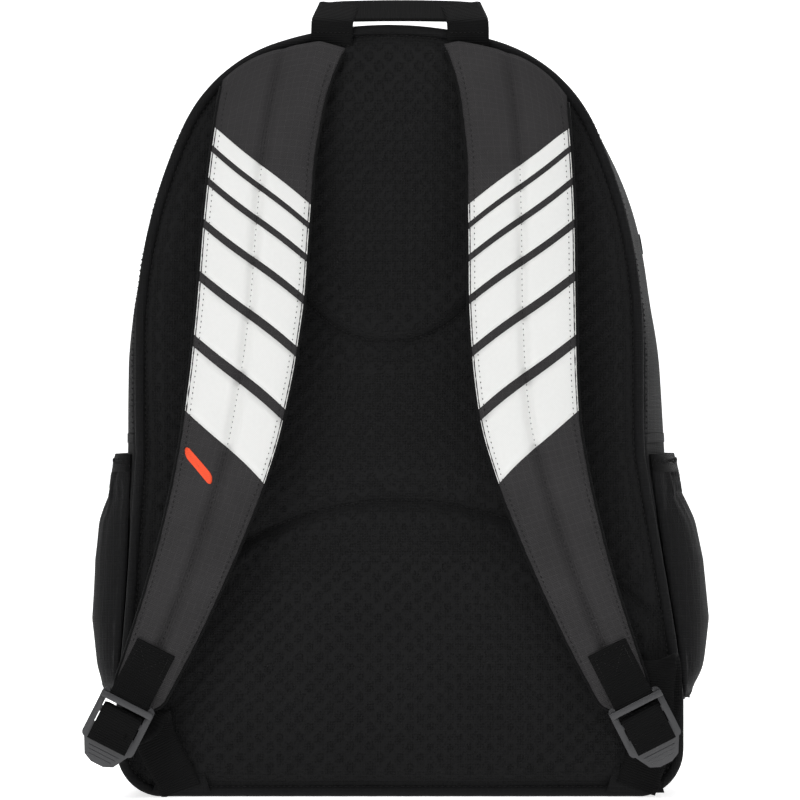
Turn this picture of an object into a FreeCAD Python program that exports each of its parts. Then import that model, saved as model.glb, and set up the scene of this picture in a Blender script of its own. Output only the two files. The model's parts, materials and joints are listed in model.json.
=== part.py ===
"""A racket backpack: arched back panel, padded shoulder straps, zipped top flap, open racket pocket in front.

The bag stands on its base. +Z is up, the back panel faces -Y and +X is to the wearer's right.
The origin is the middle of the base patch, on the floor. Lengths are in millimetres.
"""
import FreeCAD
import Part
import os
from math import acos, atan2, cos, degrees, hypot, radians, sin, tan

Vector = FreeCAD.Vector

# ---- Driving dimensions -------------------------------------------------------------------------
BASE_THICK = 2.0          # wear patch under the bag
CLEAR = 0.5               # least gap between bodies that move past each other

# Outlines, seen from behind. Each is a flared box with a three-centred arch on top.
PANEL = dict(bottom=6.0, half_base=164.0, base_top=60.0, half_side=146.5, side_from=205.0,
             spring=270.0, top=457.0, side_radius=310.0, corner=22.0)
MOUTH = dict(bottom=BASE_THICK, half_base=166.0, base_top=100.0, half_side=150.0, side_from=290.0,
             spring=308.0, top=458.0, side_radius=150.0, corner=30.0)
RACKET = dict(bottom=BASE_THICK, half_base=166.0, base_top=60.0, half_side=151.0, side_from=205.0,
              spring=235.0, top=318.0, side_radius=100.0, corner=30.0)
SIDE_TURN = radians(24.8)      # how far the side arc turns before the shoulder arc starts
SHOULDER_TURN = radians(72.0)  # where the shoulder arc gives way to the top arc

# Depths, from the wearer's back forwards.
FACE_Y = -92.0            # outer face of the back mesh
MESH_THICK = 3.0
FOAM_THICK = 8.0
SHEET_THICK = 1.5
LINING_THICK = 1.0
PAD_RAISE = 4.0           # how far the quilted pads stand out of the mesh
ROLL_BACK_Y = FACE_Y - 1.0
GUSSET_Y = -88.0          # where the gusset meets the rolled edge
ROLL = 6.0                # how far the gusset stands outside the panel
WALL = 3.0                # padded gusset
MOUTH_Y = 10.0            # where the gusset reaches the zip tape
ZIP_Y = 22.0              # line where the two rows of teeth meet
DIVIDER_Y = 34.0          # wall between the main and the racket compartments
FABRIC = 2.0
RACKET_Y = 82.0           # inside of the racket pocket's front

# The main zip follows the mouth's arch, which is a plain circle.
ARCH_Z = MOUTH["spring"]
ARCH_R = MOUTH["half_side"]
TAPE_THICK = 1.2
TEETH_WIDE = 2.4
TEETH_GAP = 0.2           # between the two rows
TEETH_PROUD = 0.8
FLAP_Z = 341.0            # lower edge of the flap's panel
WALL_TOP = 335.0          # upper edge of the divider
SLIDER_REST = radians(6.0)
ZIP_REACH = acos((FLAP_Z - ARCH_Z) / ARCH_R)

# Racket pocket and accessory pocket.
RACKET_SIDE_TOP = 270.0   # the racket pocket is open above this height
POCKET_HALF = 104.0
POCKET_Z = (38.0, 208.0)
POCKET_DEEP = 20.0
POCKET_ZIP_Z = 186.0
POCKET_ZIP_HALF = 88.0

# Side pockets: height, and how far the pocket reaches from the bag's middle.
SIDE_POCKET = [(205.0, 168.0), (155.0, 179.0), (100.0, 183.0), (62.0, 173.0)]
SIDE_POCKET_Y = (-80.0, MOUTH_Y)
SIDE_POCKET_FOLD = 22.0   # depth of the slanted faces at its front and back
ELASTIC_TALL = 10.0
ELASTIC_THICK = 1.5

# Shoulder straps: (height, distance of the middle from the bag's centre line, half width).
STRAP_LINE = [(462.0, 66.0, 31.0), (420.0, 72.0, 31.5), (385.0, 76.5, 31.5), (340.0, 79.0, 32.0),
              (298.0, 80.5, 32.0), (256.0, 84.0, 31.0), (220.0, 89.0, 29.5), (187.0, 97.5, 27.5),
              (151.0, 109.0, 24.5), (118.0, 121.0, 22.0), (91.0, 132.0, 20.0), (66.0, 143.0, 17.5)]
STRAP_DEPTH = [(462.0, -103.0), (425.0, -106.0), (370.0, -116.0), (300.0, -123.0), (220.0, -124.0),
               (150.0, -120.0), (100.0, -116.5), (45.0, -116.0)]
STRAP_FOAM = 8.5
STRAP_SKIN = 1.2
STRAP_LEAN = [(230.0, 11.0), (298.0, 8.0), (401.0, 4.8), (462.0, 2.4)]  # height, and how far both hang to -X

# Ladder lock for 25 mm webbing.
WEBBING = 25.0
WEBBING_THICK = 1.6
LOCK_TURN = 27.0          # degrees that the lock is turned from upright
LOCK_BAR = (150.0, -126.0, 59.0)  # middle of its upper bar, before the lean
LOCK_HALF = 17.0
LOCK_SLOT_HALF = 13.2
LOCK_THICK = 4.4
BAR_R = 2.2
PATCH_LONG = 35.0
TAIL_LONG = 16.0

# Haul loop.
HAUL_HALF = 53.5
HAUL_FAR_HALF = 44.0
HAUL_Y = ROLL_BACK_Y
HAUL_PIVOT_Z = 463.6
HAUL_NEAR_Z = 466.5
HAUL_RISE = 11.5
HAUL_DEPTH = 15.0
HAUL_THICK = 1.8

PARTS = "parts"
os.makedirs(PARTS, exist_ok=True)


# ---- Helpers ------------------------------------------------------------------------------------
def save(name, *shapes):
    """Writes one node from closed solids."""
    solids = [s for shape in shapes for s in shape.Solids]
    assert solids, name
    assert all(s.isValid() and s.Volume > 0 for s in solids), name
    Part.makeCompound(solids).exportStep(os.path.join(PARTS, name + ".step"))
    print(f"{name:28s} {len(solids)} solid(s) {sum(s.Volume for s in solids) / 1000:9.2f} cm3")


def box(x0, x1, y0, y1, z0, z1):
    return Part.makeBox(x1 - x0, y1 - y0, z1 - z0, Vector(x0, y0, z0))


def between_z(shape, z0, z1):
    return shape.common(box(-400, 400, -400, 400, z0, z1))


def mirrored(shape):
    return shape.mirror(Vector(0, 0, 0), Vector(1, 0, 0))


def prism(points, y0, y1):
    """A solid from an outline of (x, z) points, between two depths."""
    corners = [Vector(x, y0, z) for x, z in points]
    face = Part.Face(Part.makePolygon(corners + corners[:1]))
    return face.extrude(Vector(0, y1 - y0, 0))


def rounded(shape, radius, pick):
    """Fillets the edges that pick accepts."""
    edges = [e for e in shape.Edges if pick(e)]
    return shape.makeFillet(radius, edges) if edges else shape


def along(axis):
    """Accepts straight edges that run along an axis."""
    def pick(edge):
        if len(edge.Vertexes) != 2:
            return False
        span = edge.Vertexes[1].Point - edge.Vertexes[0].Point
        return abs(abs(span.dot(axis)) - span.Length) < 1e-6 and span.Length > 1e-6
    return pick


def arch_of(shape):
    """Centres (x, z) and radii of the side, shoulder and top arcs of an outline."""
    c1, s1 = cos(SIDE_TURN), sin(SIDE_TURN)
    c2, s2 = cos(SHOULDER_TURN), sin(SHOULDER_TURN)
    r1 = shape["side_radius"]
    side = (shape["half_side"] - r1, shape["spring"])
    px, pz = side[0] + r1 * c1, side[1] + r1 * s1
    # The shoulder arc leaves the side arc smoothly, and the top arc's centre is on the middle line.
    rise = shape["top"] - pz
    r2 = (px * (1 - s2) - rise * c2) / ((c1 - c2) * (1 - s2) - (s2 - s1) * c2)
    r3 = (px - r2 * (c1 - c2)) / c2
    shoulder = (px - r2 * c1, pz - r2 * s1)
    top = (0.0, shape["top"] - r3)
    return (side, r1), (shoulder, r2), (top, r3)


def outline(shape, grow, y):
    """The closed outline at depth y, moved outwards by grow."""
    h0, h1 = shape["half_base"] + grow, shape["half_side"] + grow
    zb, rc = shape["bottom"] - grow, shape["corner"] + grow
    flare = atan2(shape["half_base"] - shape["half_side"], shape["side_from"] - shape["base_top"])
    kink = grow * tan(flare / 2)
    (side, r1), (shoulder, r2), (top, r3) = arch_of(shape)

    def on(centre, radius, angle):
        return centre[0] + (radius + grow) * cos(angle), centre[1] + (radius + grow) * sin(angle)

    right = [
        ("arc", (h0 - rc, zb), (h0 - rc * (1 - sin(radians(45))), zb + rc * (1 - cos(radians(45)))), (h0, zb + rc)),
        ("line", (h0, zb + rc), (h0, shape["base_top"] + kink)),
        ("line", (h0, shape["base_top"] + kink), (h1, shape["side_from"] + kink)),
        ("line", (h1, shape["side_from"] + kink), (h1, shape["spring"])),
        ("arc", (h1, shape["spring"]), on(side, r1, SIDE_TURN / 2), on(side, r1, SIDE_TURN)),
        ("arc", on(side, r1, SIDE_TURN), on(shoulder, r2, (SIDE_TURN + SHOULDER_TURN) / 2),
         on(shoulder, r2, SHOULDER_TURN)),
    ]

    def edge(kind, points):
        spots = [Vector(x, y, z) for x, z in points]
        return Part.Arc(*spots).toShape() if kind == "arc" else Part.LineSegment(*spots).toShape()

    edges = [edge("line", [(-(h0 - rc), zb), (h0 - rc, zb)])]
    edges += [edge(kind, points) for kind, *points in right]
    shoulder_end = on(top, r3, SHOULDER_TURN)
    edges.append(edge("arc", [shoulder_end, (0.0, top[1] + r3 + grow), (-shoulder_end[0], shoulder_end[1])]))
    edges += [edge(kind, [(-x, z) for x, z in reversed(points)]) for kind, *points in reversed(right)]
    return Part.Wire(edges)


def plate(shape, grow, y0, y1):
    return Part.Face(outline(shape, grow, y0)).extrude(Vector(0, y1 - y0, 0))


def loft(shape_a, grow_a, y_a, shape_b, grow_b, y_b):
    return Part.makeLoft([outline(shape_a, grow_a, y_a), outline(shape_b, grow_b, y_b)], True, True)


def arch_band(r_in, r_out, y0, y1, angle_from, angle_to):
    """A strip on the mouth's arch. Angles are from upright, positive towards +X."""
    def spot(radius, angle):
        return Vector(radius * sin(angle), y0, ARCH_Z + radius * cos(angle))

    middle = (angle_from + angle_to) / 2
    wire = Part.Wire([
        Part.Arc(spot(r_in, angle_from), spot(r_in, middle), spot(r_in, angle_to)).toShape(),
        Part.LineSegment(spot(r_in, angle_to), spot(r_out, angle_to)).toShape(),
        Part.Arc(spot(r_out, angle_to), spot(r_out, middle), spot(r_out, angle_from)).toShape(),
        Part.LineSegment(spot(r_out, angle_from), spot(r_in, angle_from)).toShape(),
    ])
    return Part.Face(wire).extrude(Vector(0, y1 - y0, 0))


def spline(points):
    curve = Part.BSplineCurve()
    curve.interpolate(points)
    return curve.toShape()


# ---- Back panel ---------------------------------------------------------------------------------
def back_panel():
    """Mesh face, foam board, stiffening sheet and lining, with two quilted pads on the mesh."""
    y = FACE_Y
    save("back_mesh_face", plate(PANEL, 0, y, y + MESH_THICK))
    y += MESH_THICK
    save("back_foam_board", plate(PANEL, 0, y, y + FOAM_THICK))
    y += FOAM_THICK
    save("frame_sheet", plate(PANEL, -6, y, y + SHEET_THICK))
    y += SHEET_THICK
    save("back_lining", plate(PANEL, 0, y, y + LINING_THICK))

    pad_blank = plate(PANEL, -7, FACE_Y - PAD_RAISE, FACE_Y)
    dome_half, dome_side_z, dome_top_z = 157.0, 94.0, 178.0
    sagitta = dome_top_z - dome_side_z
    dome_r = (dome_half ** 2 + sagitta ** 2) / (2 * sagitta)
    dome = Part.makeCylinder(dome_r, 40, Vector(0, FACE_Y - 20, dome_top_z - dome_r), Vector(0, 1, 0))
    low = box(-dome_half, dome_half, FACE_Y - 20, FACE_Y + 20, 0, dome_side_z)
    save("lower_back_pad", pad_blank.common(dome.fuse(low)))

    tongue_r, tongue_z = 62.0, 335.0
    tongue = Part.makeCylinder(tongue_r, 40, Vector(0, FACE_Y - 20, tongue_z), Vector(0, 1, 0))
    column = box(-tongue_r, tongue_r, FACE_Y - 20, FACE_Y + 20, tongue_z, 470)
    save("upper_back_pad", pad_blank.common(tongue.fuse(column)))


# ---- Bag body -----------------------------------------------------------------------------------
SIDE_PANEL_Z = (45.0, 215.0)


def bag_body():
    """The gusset round the main compartment, its bottom and sides, and the rolled edge."""
    roll = plate(PANEL, ROLL, ROLL_BACK_Y, GUSSET_Y).cut(plate(PANEL, 0, ROLL_BACK_Y - 1, GUSSET_Y + 1))
    save("panel_edge_roll", between_z(roll, BASE_THICK, 500))

    rear_outer = loft(PANEL, ROLL, GUSSET_Y, MOUTH, 0, MOUTH_Y)
    rear_inner = loft(PANEL, ROLL - WALL, GUSSET_Y, MOUTH, -WALL, MOUTH_Y)
    rear = rear_outer.cut(rear_inner)
    front = plate(MOUTH, 0, MOUTH_Y, DIVIDER_Y).cut(plate(MOUTH, -WALL, MOUTH_Y, DIVIDER_Y))
    low, high = SIDE_PANEL_Z
    save("bottom_panel", between_z(rear, BASE_THICK, low).fuse(between_z(front, BASE_THICK, low)))
    sides = between_z(rear, low, high).fuse(between_z(front, low, high))
    save("left_side_panel", sides.common(box(-400, 0, -400, 400, 0, 500)))
    save("right_side_panel", sides.common(box(0, 400, -400, 400, 0, 500)))
    save("rear_gusset", between_z(rear, high, 500))
    zip_zone = arch_band(ARCH_R - 30, ARCH_R + 30, MOUTH_Y - 1, DIVIDER_Y + 1,
                         -ZIP_REACH - radians(2), ZIP_REACH + radians(2))
    save("front_gusset", between_z(front, high, WALL_TOP + 4).cut(zip_zone))

    base_half = MOUTH["half_base"] - MOUTH["corner"] + 8
    base = box(-base_half, base_half, GUSSET_Y, RACKET_Y + FABRIC, 0, BASE_THICK)
    save("base_patch", rounded(base, 14, along(Vector(0, 0, 1))))


def divider_and_sleeve():
    """The wall behind the racket pocket and the padded sleeve inside the main compartment."""
    main = plate(MOUTH, 0, DIVIDER_Y, DIVIDER_Y + FABRIC)
    wide = between_z(plate(RACKET, 0, DIVIDER_Y, DIVIDER_Y + FABRIC), 0, RACKET_SIDE_TOP)
    save("divider_wall", between_z(main.fuse(wide), BASE_THICK, WALL_TOP).removeSplitter())

    back_y = FACE_Y + MESH_THICK + FOAM_THICK + SHEET_THICK + LINING_THICK
    half, top, deep, skin = 124.0, 300.0, 18.0, 3.0
    outer = box(-half, half, back_y, back_y + deep, PANEL["bottom"] + 4, top)
    inner = box(-half + skin, half - skin, back_y, back_y + deep - skin, PANEL["bottom"] + 7, top)
    save("laptop_sleeve", rounded(outer, 4, along(Vector(0, 0, 1))).cut(inner))
    trim = box(-half - 1, half + 1, back_y + deep - skin - 0.8, back_y + deep + 0.8, top, top + 6)
    save("sleeve_binding", trim)


# ---- Main zip and flap --------------------------------------------------------------------------
def main_zip():
    """Two tapes and two rows of teeth. The flap carries the front ones."""
    reach = ZIP_REACH
    teeth_in, teeth_out = ARCH_R - TAPE_THICK - TEETH_PROUD, ARCH_R + TEETH_PROUD
    rear_edge = ZIP_Y - TEETH_GAP / 2 - TEETH_WIDE
    front_edge = ZIP_Y + TEETH_GAP / 2 + TEETH_WIDE
    save("main_zip_rear_tape", arch_band(ARCH_R - TAPE_THICK, ARCH_R, MOUTH_Y, rear_edge, -reach, reach))
    save("main_zip_rear_teeth", arch_band(teeth_in, teeth_out, rear_edge, ZIP_Y - TEETH_GAP / 2, -reach, reach))
    flap_reach = reach - radians(1)
    save("main_zip_flap_tape", arch_band(ARCH_R - TAPE_THICK, ARCH_R, front_edge, DIVIDER_Y, -flap_reach, flap_reach))
    save("main_zip_flap_teeth",
         arch_band(teeth_in, teeth_out, ZIP_Y + TEETH_GAP / 2, front_edge, -flap_reach, flap_reach))

    flap = between_z(plate(MOUTH, -3, DIVIDER_Y, DIVIDER_Y + FABRIC), FLAP_Z, 500)
    save("flap_panel", flap)
    save("flap_piping", arch_band(ARCH_R - 3, ARCH_R + 1, DIVIDER_Y, DIVIDER_Y + 4, -flap_reach, flap_reach))
    fold_half = ARCH_R - 8
    save("flap_fold", box(-fold_half, fold_half, DIVIDER_Y + 0.5, DIVIDER_Y + 1.5, WALL_TOP, FLAP_Z - CLEAR))

    tab = arch_band(ARCH_R, ARCH_R + 2.2, MOUTH_Y + 3, ZIP_Y - TEETH_GAP / 2,
                    reach + radians(0.2), reach + radians(5))
    save("zip_end_tabs", tab, mirrored(tab))


def turned_on_arch(shape, angle):
    """Carries a shape made at the top of the arch round to an angle, positive towards +X."""
    moved = shape.copy()
    moved.rotate(Vector(0, 0, ARCH_Z), Vector(0, 1, 0), degrees(angle))
    return moved


def zip_slider(long, wide, thick, bridge):
    """A slider on the XY plane at the origin: body, and a bridge that holds the pull's pin. Its nose is at -X."""
    body = rounded(box(-long / 2, long / 2, -wide / 2, wide / 2, 0, thick), 1.6, along(Vector(0, 0, 1)))
    post = box(-long / 2 + 1.0, -long / 2 + 2.4, -1.6, 1.6, thick, thick + bridge)
    post_far = box(long / 2 - 2.4, long / 2 - 1.0, -1.6, 1.6, thick, thick + bridge)
    beam = box(-long / 2 + 1.0, long / 2 - 1.0, -1.6, 1.6, thick + bridge - 1.0, thick + bridge)
    return body.fuse(post).fuse(post_far).fuse(beam).removeSplitter()


def zip_pull(long, wide, thick, eye_half):
    """A pull tab along +X from its eye, which the bridge's beam passes through."""
    tab = rounded(box(-2.2, long, -wide / 2, wide / 2, 0, thick), wide / 2 - 0.6, along(Vector(0, 0, 1)))
    eye = box(-0.9, 4.4, -eye_half, eye_half, -5, 5)
    grip = rounded(box(long * 0.42, long - 3, -wide / 2 - 0.9, wide / 2 + 0.9, -0.7, thick + 0.7), 1.2,
                   along(Vector(0, 0, 1)))
    return tab.cut(eye).fuse(grip)


SLIDER = dict(long=11.0, wide=9.0, thick=3.0, bridge=3.4)
SLIDER_LIFT = ARCH_R + TEETH_PROUD + 1.0
PULL = dict(long=32.0, wide=8.0, thick=1.4, eye_half=2.3)
POCKET_SLIDER = dict(long=9.0, wide=7.6, thick=2.6, bridge=3.2)
POCKET_PULL = dict(long=26.0, wide=6.4, thick=1.3, eye_half=2.1)


def main_sliders():
    """Both sliders rest beside the middle of the arch, and their pulls lie outwards along it."""
    for name, side in (("left", -1), ("right", 1)):
        body = zip_slider(**SLIDER)
        pull = zip_pull(**PULL)
        pull.translate(Vector(SLIDER["long"] / 2 - 3.6 - 1.0, 0, SLIDER["thick"] + 0.45))
        for node, shape in (("slider", body), ("pull", pull)):
            shape.translate(Vector(0, ZIP_Y, ARCH_Z + SLIDER_LIFT))
            shape = turned_on_arch(shape, SLIDER_REST)
            save(f"{name}_zip_{node}", shape if side > 0 else mirrored(shape))


# ---- Front pockets ------------------------------------------------------------------------------
def racket_pocket():
    """Open-topped pocket for rackets: a gusset up to the shoulders and a front panel with a bound edge."""
    y0, y1 = DIVIDER_Y + FABRIC, RACKET_Y
    ring = plate(RACKET, 0, y0, y1).cut(plate(RACKET, -FABRIC, y0, y1))
    save("racket_pocket_gusset", between_z(ring, BASE_THICK, RACKET_SIDE_TOP))
    panel = plate(RACKET, 0, y1, y1 + FABRIC)
    save("racket_pocket_front", between_z(panel, BASE_THICK, 500))
    rim = plate(RACKET, 1.6, y1 - 1.4, y1 + FABRIC + 1.2).cut(plate(RACKET, -5, y1 - 2, y1 + FABRIC + 2))
    rim = between_z(rim, RACKET_SIDE_TOP, 500)
    save("racket_pocket_binding", rim.cut(plate(RACKET, 0, y1, y1 + FABRIC)))


def accessory_pocket():
    """A flat zipped pocket on the front, with a straight zip across it."""
    y0 = RACKET_Y + FABRIC
    y1 = y0 + POCKET_DEEP
    z0, z1 = POCKET_Z
    blank = rounded(box(-POCKET_HALF, POCKET_HALF, y0, y1, z0, z1), 18, along(Vector(0, 1, 0)))
    hollow = rounded(box(-POCKET_HALF + FABRIC, POCKET_HALF - FABRIC, y0, y1 - FABRIC, z0 + FABRIC, z1 - FABRIC),
                     16, along(Vector(0, 1, 0)))
    slot_tall = 12.0
    slot = box(-POCKET_ZIP_HALF, POCKET_ZIP_HALF, y0, y1 + 1,
               POCKET_ZIP_Z - slot_tall / 2, POCKET_ZIP_Z + slot_tall / 2)
    save("accessory_pocket", blank.cut(hollow).cut(slot))

    face = y1 - FABRIC
    tape_tall, tooth = 11.0, 2.2
    tapes, teeth = [], []
    for side in (-1, 1):
        near, far = TEETH_GAP / 2 + tooth, TEETH_GAP / 2 + tape_tall
        low, high = sorted((POCKET_ZIP_Z + side * near, POCKET_ZIP_Z + side * far))
        tapes.append(box(-POCKET_ZIP_HALF - 4, POCKET_ZIP_HALF + 4, face - TAPE_THICK, face, low, high))
        low, high = sorted((POCKET_ZIP_Z + side * TEETH_GAP / 2, POCKET_ZIP_Z + side * near))
        teeth.append(box(-POCKET_ZIP_HALF + 1, POCKET_ZIP_HALF - 1, face - TAPE_THICK, face + 1.4, low, high))
    save("pocket_zip_tapes", *tapes)
    save("pocket_zip_teeth", *teeth)

    slider = zip_slider(**POCKET_SLIDER)
    pull = zip_pull(**POCKET_PULL)
    pull.translate(Vector(0.8, 0, POCKET_SLIDER["thick"] + 0.45))
    for node, shape in (("slider", slider), ("pull", pull)):
        shape.rotate(Vector(0, 0, 0), Vector(1, 0, 0), -90)
        shape.translate(Vector(-POCKET_ZIP_HALF + 10, face + 1.4 + 0.4, POCKET_ZIP_Z))
        save(f"pocket_zip_{node}", shape)


# ---- Side pockets -------------------------------------------------------------------------------
def outline_half(shape, grow, z):
    """Half width of an outline below its arch, at a height."""
    h0, h1 = shape["half_base"] + grow, shape["half_side"] + grow
    if z <= shape["base_top"]:
        return h0
    if z >= shape["side_from"]:
        return h1
    share = (z - shape["base_top"]) / (shape["side_from"] - shape["base_top"])
    return h0 + (h1 - h0) * share


def side_wall(y, z):
    """Outer face of the side panel at a depth and height."""
    share = (y - GUSSET_Y) / (MOUTH_Y - GUSSET_Y)
    rear, front = outline_half(PANEL, ROLL, z), outline_half(MOUTH, 0, z)
    return rear + (front - rear) * share


def pocket_section(z, reach, shrink):
    """A flat-fronted section: a straight edge beside the bag's wall and three faces outside it."""
    y0, y1 = SIDE_POCKET_Y[0] + shrink, SIDE_POCKET_Y[1] - shrink
    gap = 2 * CLEAR
    rear = Vector(side_wall(y0, z) + gap, y0, z)
    front = Vector(side_wall(y1, z) + gap, y1, z)
    x = reach - shrink
    corners = [rear, Vector(x, y0 + SIDE_POCKET_FOLD, z), Vector(x, y1 - SIDE_POCKET_FOLD, z), front]
    return Part.makePolygon(corners + corners[:1])


def pocket_blank(levels, shrink):
    return Part.makeLoft([pocket_section(z, reach, shrink) for z, reach in levels], True, True)


def side_pockets():
    """A gathered pocket on each side, with an elastic band round its mouth."""
    top_z, top_reach = SIDE_POCKET[0]
    outer = pocket_blank(SIDE_POCKET, 0)
    levels = [(top_z + 6, top_reach)] + SIDE_POCKET[:-1] + [(SIDE_POCKET[-1][0] + 3, SIDE_POCKET[-1][1])]
    shell = outer.cut(pocket_blank(levels, FABRIC))
    band_z = top_z - ELASTIC_TALL
    band_levels = [(top_z, top_reach + ELASTIC_THICK), (band_z, top_reach + ELASTIC_THICK)]
    band_outer = Part.makeLoft([pocket_section(z, reach, -0.01) for z, reach in band_levels], True, True)
    shell = shell.cut(box(0, 400, -400, 400, band_z, 400))
    inner_levels = [(top_z + 1, top_reach), (band_z - 1, top_reach)]
    band_inner = Part.makeLoft([pocket_section(z, reach, FABRIC) for z, reach in inner_levels], True, True)
    band = band_outer.cut(band_inner)
    for name, place in (("right", lambda s: s), ("left", mirrored)):
        save(f"{name}_pocket", place(shell))
        save(f"{name}_pocket_elastic", place(band))


# ---- Shoulder straps ----------------------------------------------------------------------------
def lean(z):
    """How far the straps hang to -X at a height."""
    if z <= STRAP_LEAN[0][0]:
        return -STRAP_LEAN[0][1]
    for (low, lean_low), (high, lean_high) in zip(STRAP_LEAN, STRAP_LEAN[1:]):
        if z <= high:
            return -(lean_low + (lean_high - lean_low) * (z - low) / (high - low))
    return -STRAP_LEAN[-1][1]


def strap_outline(side):
    """The strap seen from behind, as a face at y = 0."""
    outer = [Vector(side * (x + half) + lean(z), 0, z) for z, x, half in STRAP_LINE]
    inner = [Vector(side * (x - half) + lean(z), 0, z) for z, x, half in STRAP_LINE]
    z, x, half = STRAP_LINE[-1]
    turn = radians(LOCK_TURN)
    tip = Vector(side * (x + 0.55 * half * sin(turn)) + lean(z), 0, z - 0.75 * half)
    edges = [
        spline(outer),
        Part.Arc(outer[-1], tip, inner[-1]).toShape(),
        spline(inner[::-1]),
        Part.LineSegment(inner[0], outer[0]).toShape(),
    ]
    return Part.Face(Part.Wire(edges))


def strap_band(near, far):
    """The strap seen from the side: a bowed band between two distances from its middle, towards the bag."""
    def offset(distance):
        spots = []
        for i, (z, y) in enumerate(STRAP_DEPTH):
            z_a, y_a = STRAP_DEPTH[max(i - 1, 0)]
            z_b, y_b = STRAP_DEPTH[min(i + 1, len(STRAP_DEPTH) - 1)]
            run = hypot(z_b - z_a, y_b - y_a)
            spots.append(Vector(-200, y - distance * (z_b - z_a) / run, z + distance * (y_b - y_a) / run))
        return spots

    first, second = offset(near), offset(far)
    edges = [spline(first), Part.LineSegment(first[-1], second[-1]).toShape(),
             spline(second[::-1]), Part.LineSegment(second[0], first[0]).toShape()]
    return Part.Face(Part.Wire(edges)).extrude(Vector(400, 0, 0))


def lock_frame(shape, side):
    """Places a shape made for a lock at the origin, with its bar along X, onto its strap."""
    x, y, z = LOCK_BAR
    placed = shape.copy()
    placed.rotate(Vector(0, 0, 0), Vector(0, 1, 0), side * -LOCK_TURN)
    placed.translate(Vector(side * x + lean(z), y, z))
    return placed


def ladder_lock():
    """Frame with a round upper bar, a toothed middle bar and a bent thumb tab. The bar's middle is the origin."""
    t = LOCK_THICK
    drop = 30.0
    frame = box(-LOCK_HALF, LOCK_HALF, -t / 2, t / 2, -drop, 2.6)
    frame = rounded(frame, 3.2, along(Vector(0, 1, 0)))
    upper = box(-LOCK_SLOT_HALF, LOCK_SLOT_HALF, -t, t, -9.0, -BAR_R)
    lower = box(-LOCK_SLOT_HALF, LOCK_SLOT_HALF, -t, t, -19.5, -12.5)
    frame = frame.cut(upper).cut(lower)
    bar_zone = box(-LOCK_SLOT_HALF, LOCK_SLOT_HALF, -t, t, -BAR_R, 6)
    bar = Part.makeCylinder(BAR_R, 2 * LOCK_SLOT_HALF, Vector(-LOCK_SLOT_HALF, 0, 0), Vector(1, 0, 0))
    frame = frame.cut(bar_zone).fuse(bar)
    tab = prism([(-LOCK_HALF + 2, -drop + 1), (-9.5, -drop - 9), (-4, -drop - 11.5), (4, -drop - 11.5),
                 (9.5, -drop - 9), (LOCK_HALF - 2, -drop + 1)], -t / 2, -t / 2 + 2.6)
    return frame.fuse(tab).removeSplitter()


def strap_webbing():
    """Patch sewn on the strap, ending in a loop round the lock's upper bar."""
    loop_in = BAR_R + 0.35
    loop_out = loop_in + WEBBING_THICK
    half = WEBBING / 2
    loop = Part.makeCylinder(loop_out, 2 * half, Vector(-half, 0, 0), Vector(1, 0, 0)).cut(
        Part.makeCylinder(loop_in, 2 * half + 2, Vector(-half - 1, 0, 0), Vector(1, 0, 0)))
    loop = loop.cut(box(-half - 1, half + 1, 0, 10, 0, 10))
    back_y = STRAP_DEPTH[-2][1] - STRAP_FOAM / 2 - STRAP_SKIN - LOCK_BAR[1] - 0.1
    patch = box(-half, half, back_y - WEBBING_THICK, back_y, loop_in, PATCH_LONG)
    bend = box(-half, half, -0.2, back_y, loop_in, loop_out)
    return loop.fuse(bend).fuse(patch).removeSplitter()


def webbing_tail():
    """Free end of the adjusting webbing, folded over the lock's middle bar."""
    half = WEBBING / 2
    t = LOCK_THICK / 2 + CLEAR
    over = box(-half, half, -t - WEBBING_THICK, -t, -19.0, -8.5)
    end = box(-half, half, -t - WEBBING_THICK, -t, -19.0 - TAIL_LONG, -19.0)
    end.rotate(Vector(0, -t, -19.0), Vector(1, 0, 0), -14)
    return over.fuse(end).removeSplitter()


def lower_webbing(side):
    """Webbing from the base seam up behind the strap's end."""
    half = WEBBING / 2
    foot = (131.0, 8.0)
    turn = radians(LOCK_TURN)
    top = (LOCK_BAR[0] + 22 * sin(turn), LOCK_BAR[2] - 26 * cos(turn))
    run_x, run_z = top[0] - foot[0], top[1] - foot[1]
    long = hypot(run_x, run_z)
    strip = box(-half, half, FACE_Y - PAD_RAISE - 3.4, FACE_Y - PAD_RAISE - 3.4 + WEBBING_THICK, 0, long)
    strip.rotate(Vector(0, 0, 0), Vector(0, 1, 0), degrees(atan2(run_x, run_z)))
    strip.translate(Vector(foot[0], 0, foot[1]))
    strip = strip if side > 0 else mirrored(strip)
    strip.translate(Vector(lean(0), 0, 0))
    return between_z(strip, BASE_THICK + 1, 200)


def straps():
    """Foam, cover and mesh lining of each strap, its webbing and its ladder lock."""
    inside = plate(PANEL, -1.5, -200, 0)
    half_foam = STRAP_FOAM / 2
    layers = {
        "foam": strap_band(-half_foam, half_foam),
        "cover": strap_band(-half_foam - STRAP_SKIN, -half_foam),
        "lining": strap_band(half_foam, half_foam + STRAP_SKIN),
    }
    for name, side in (("left", -1), ("right", 1)):
        blank = strap_outline(side).extrude(Vector(0, 400, 0))
        blank.translate(Vector(0, -200, 0))
        blank = blank.common(inside)
        for layer, band in layers.items():
            save(f"{name}_strap_{layer}", blank.common(band))
        save(f"{name}_strap_webbing", lock_frame(strap_webbing(), side))
        save(f"{name}_ladder_lock", lock_frame(ladder_lock(), side))
        save(f"{name}_webbing_tail", lock_frame(webbing_tail(), side))
        save(f"{name}_lower_webbing", lower_webbing(side))


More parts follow.
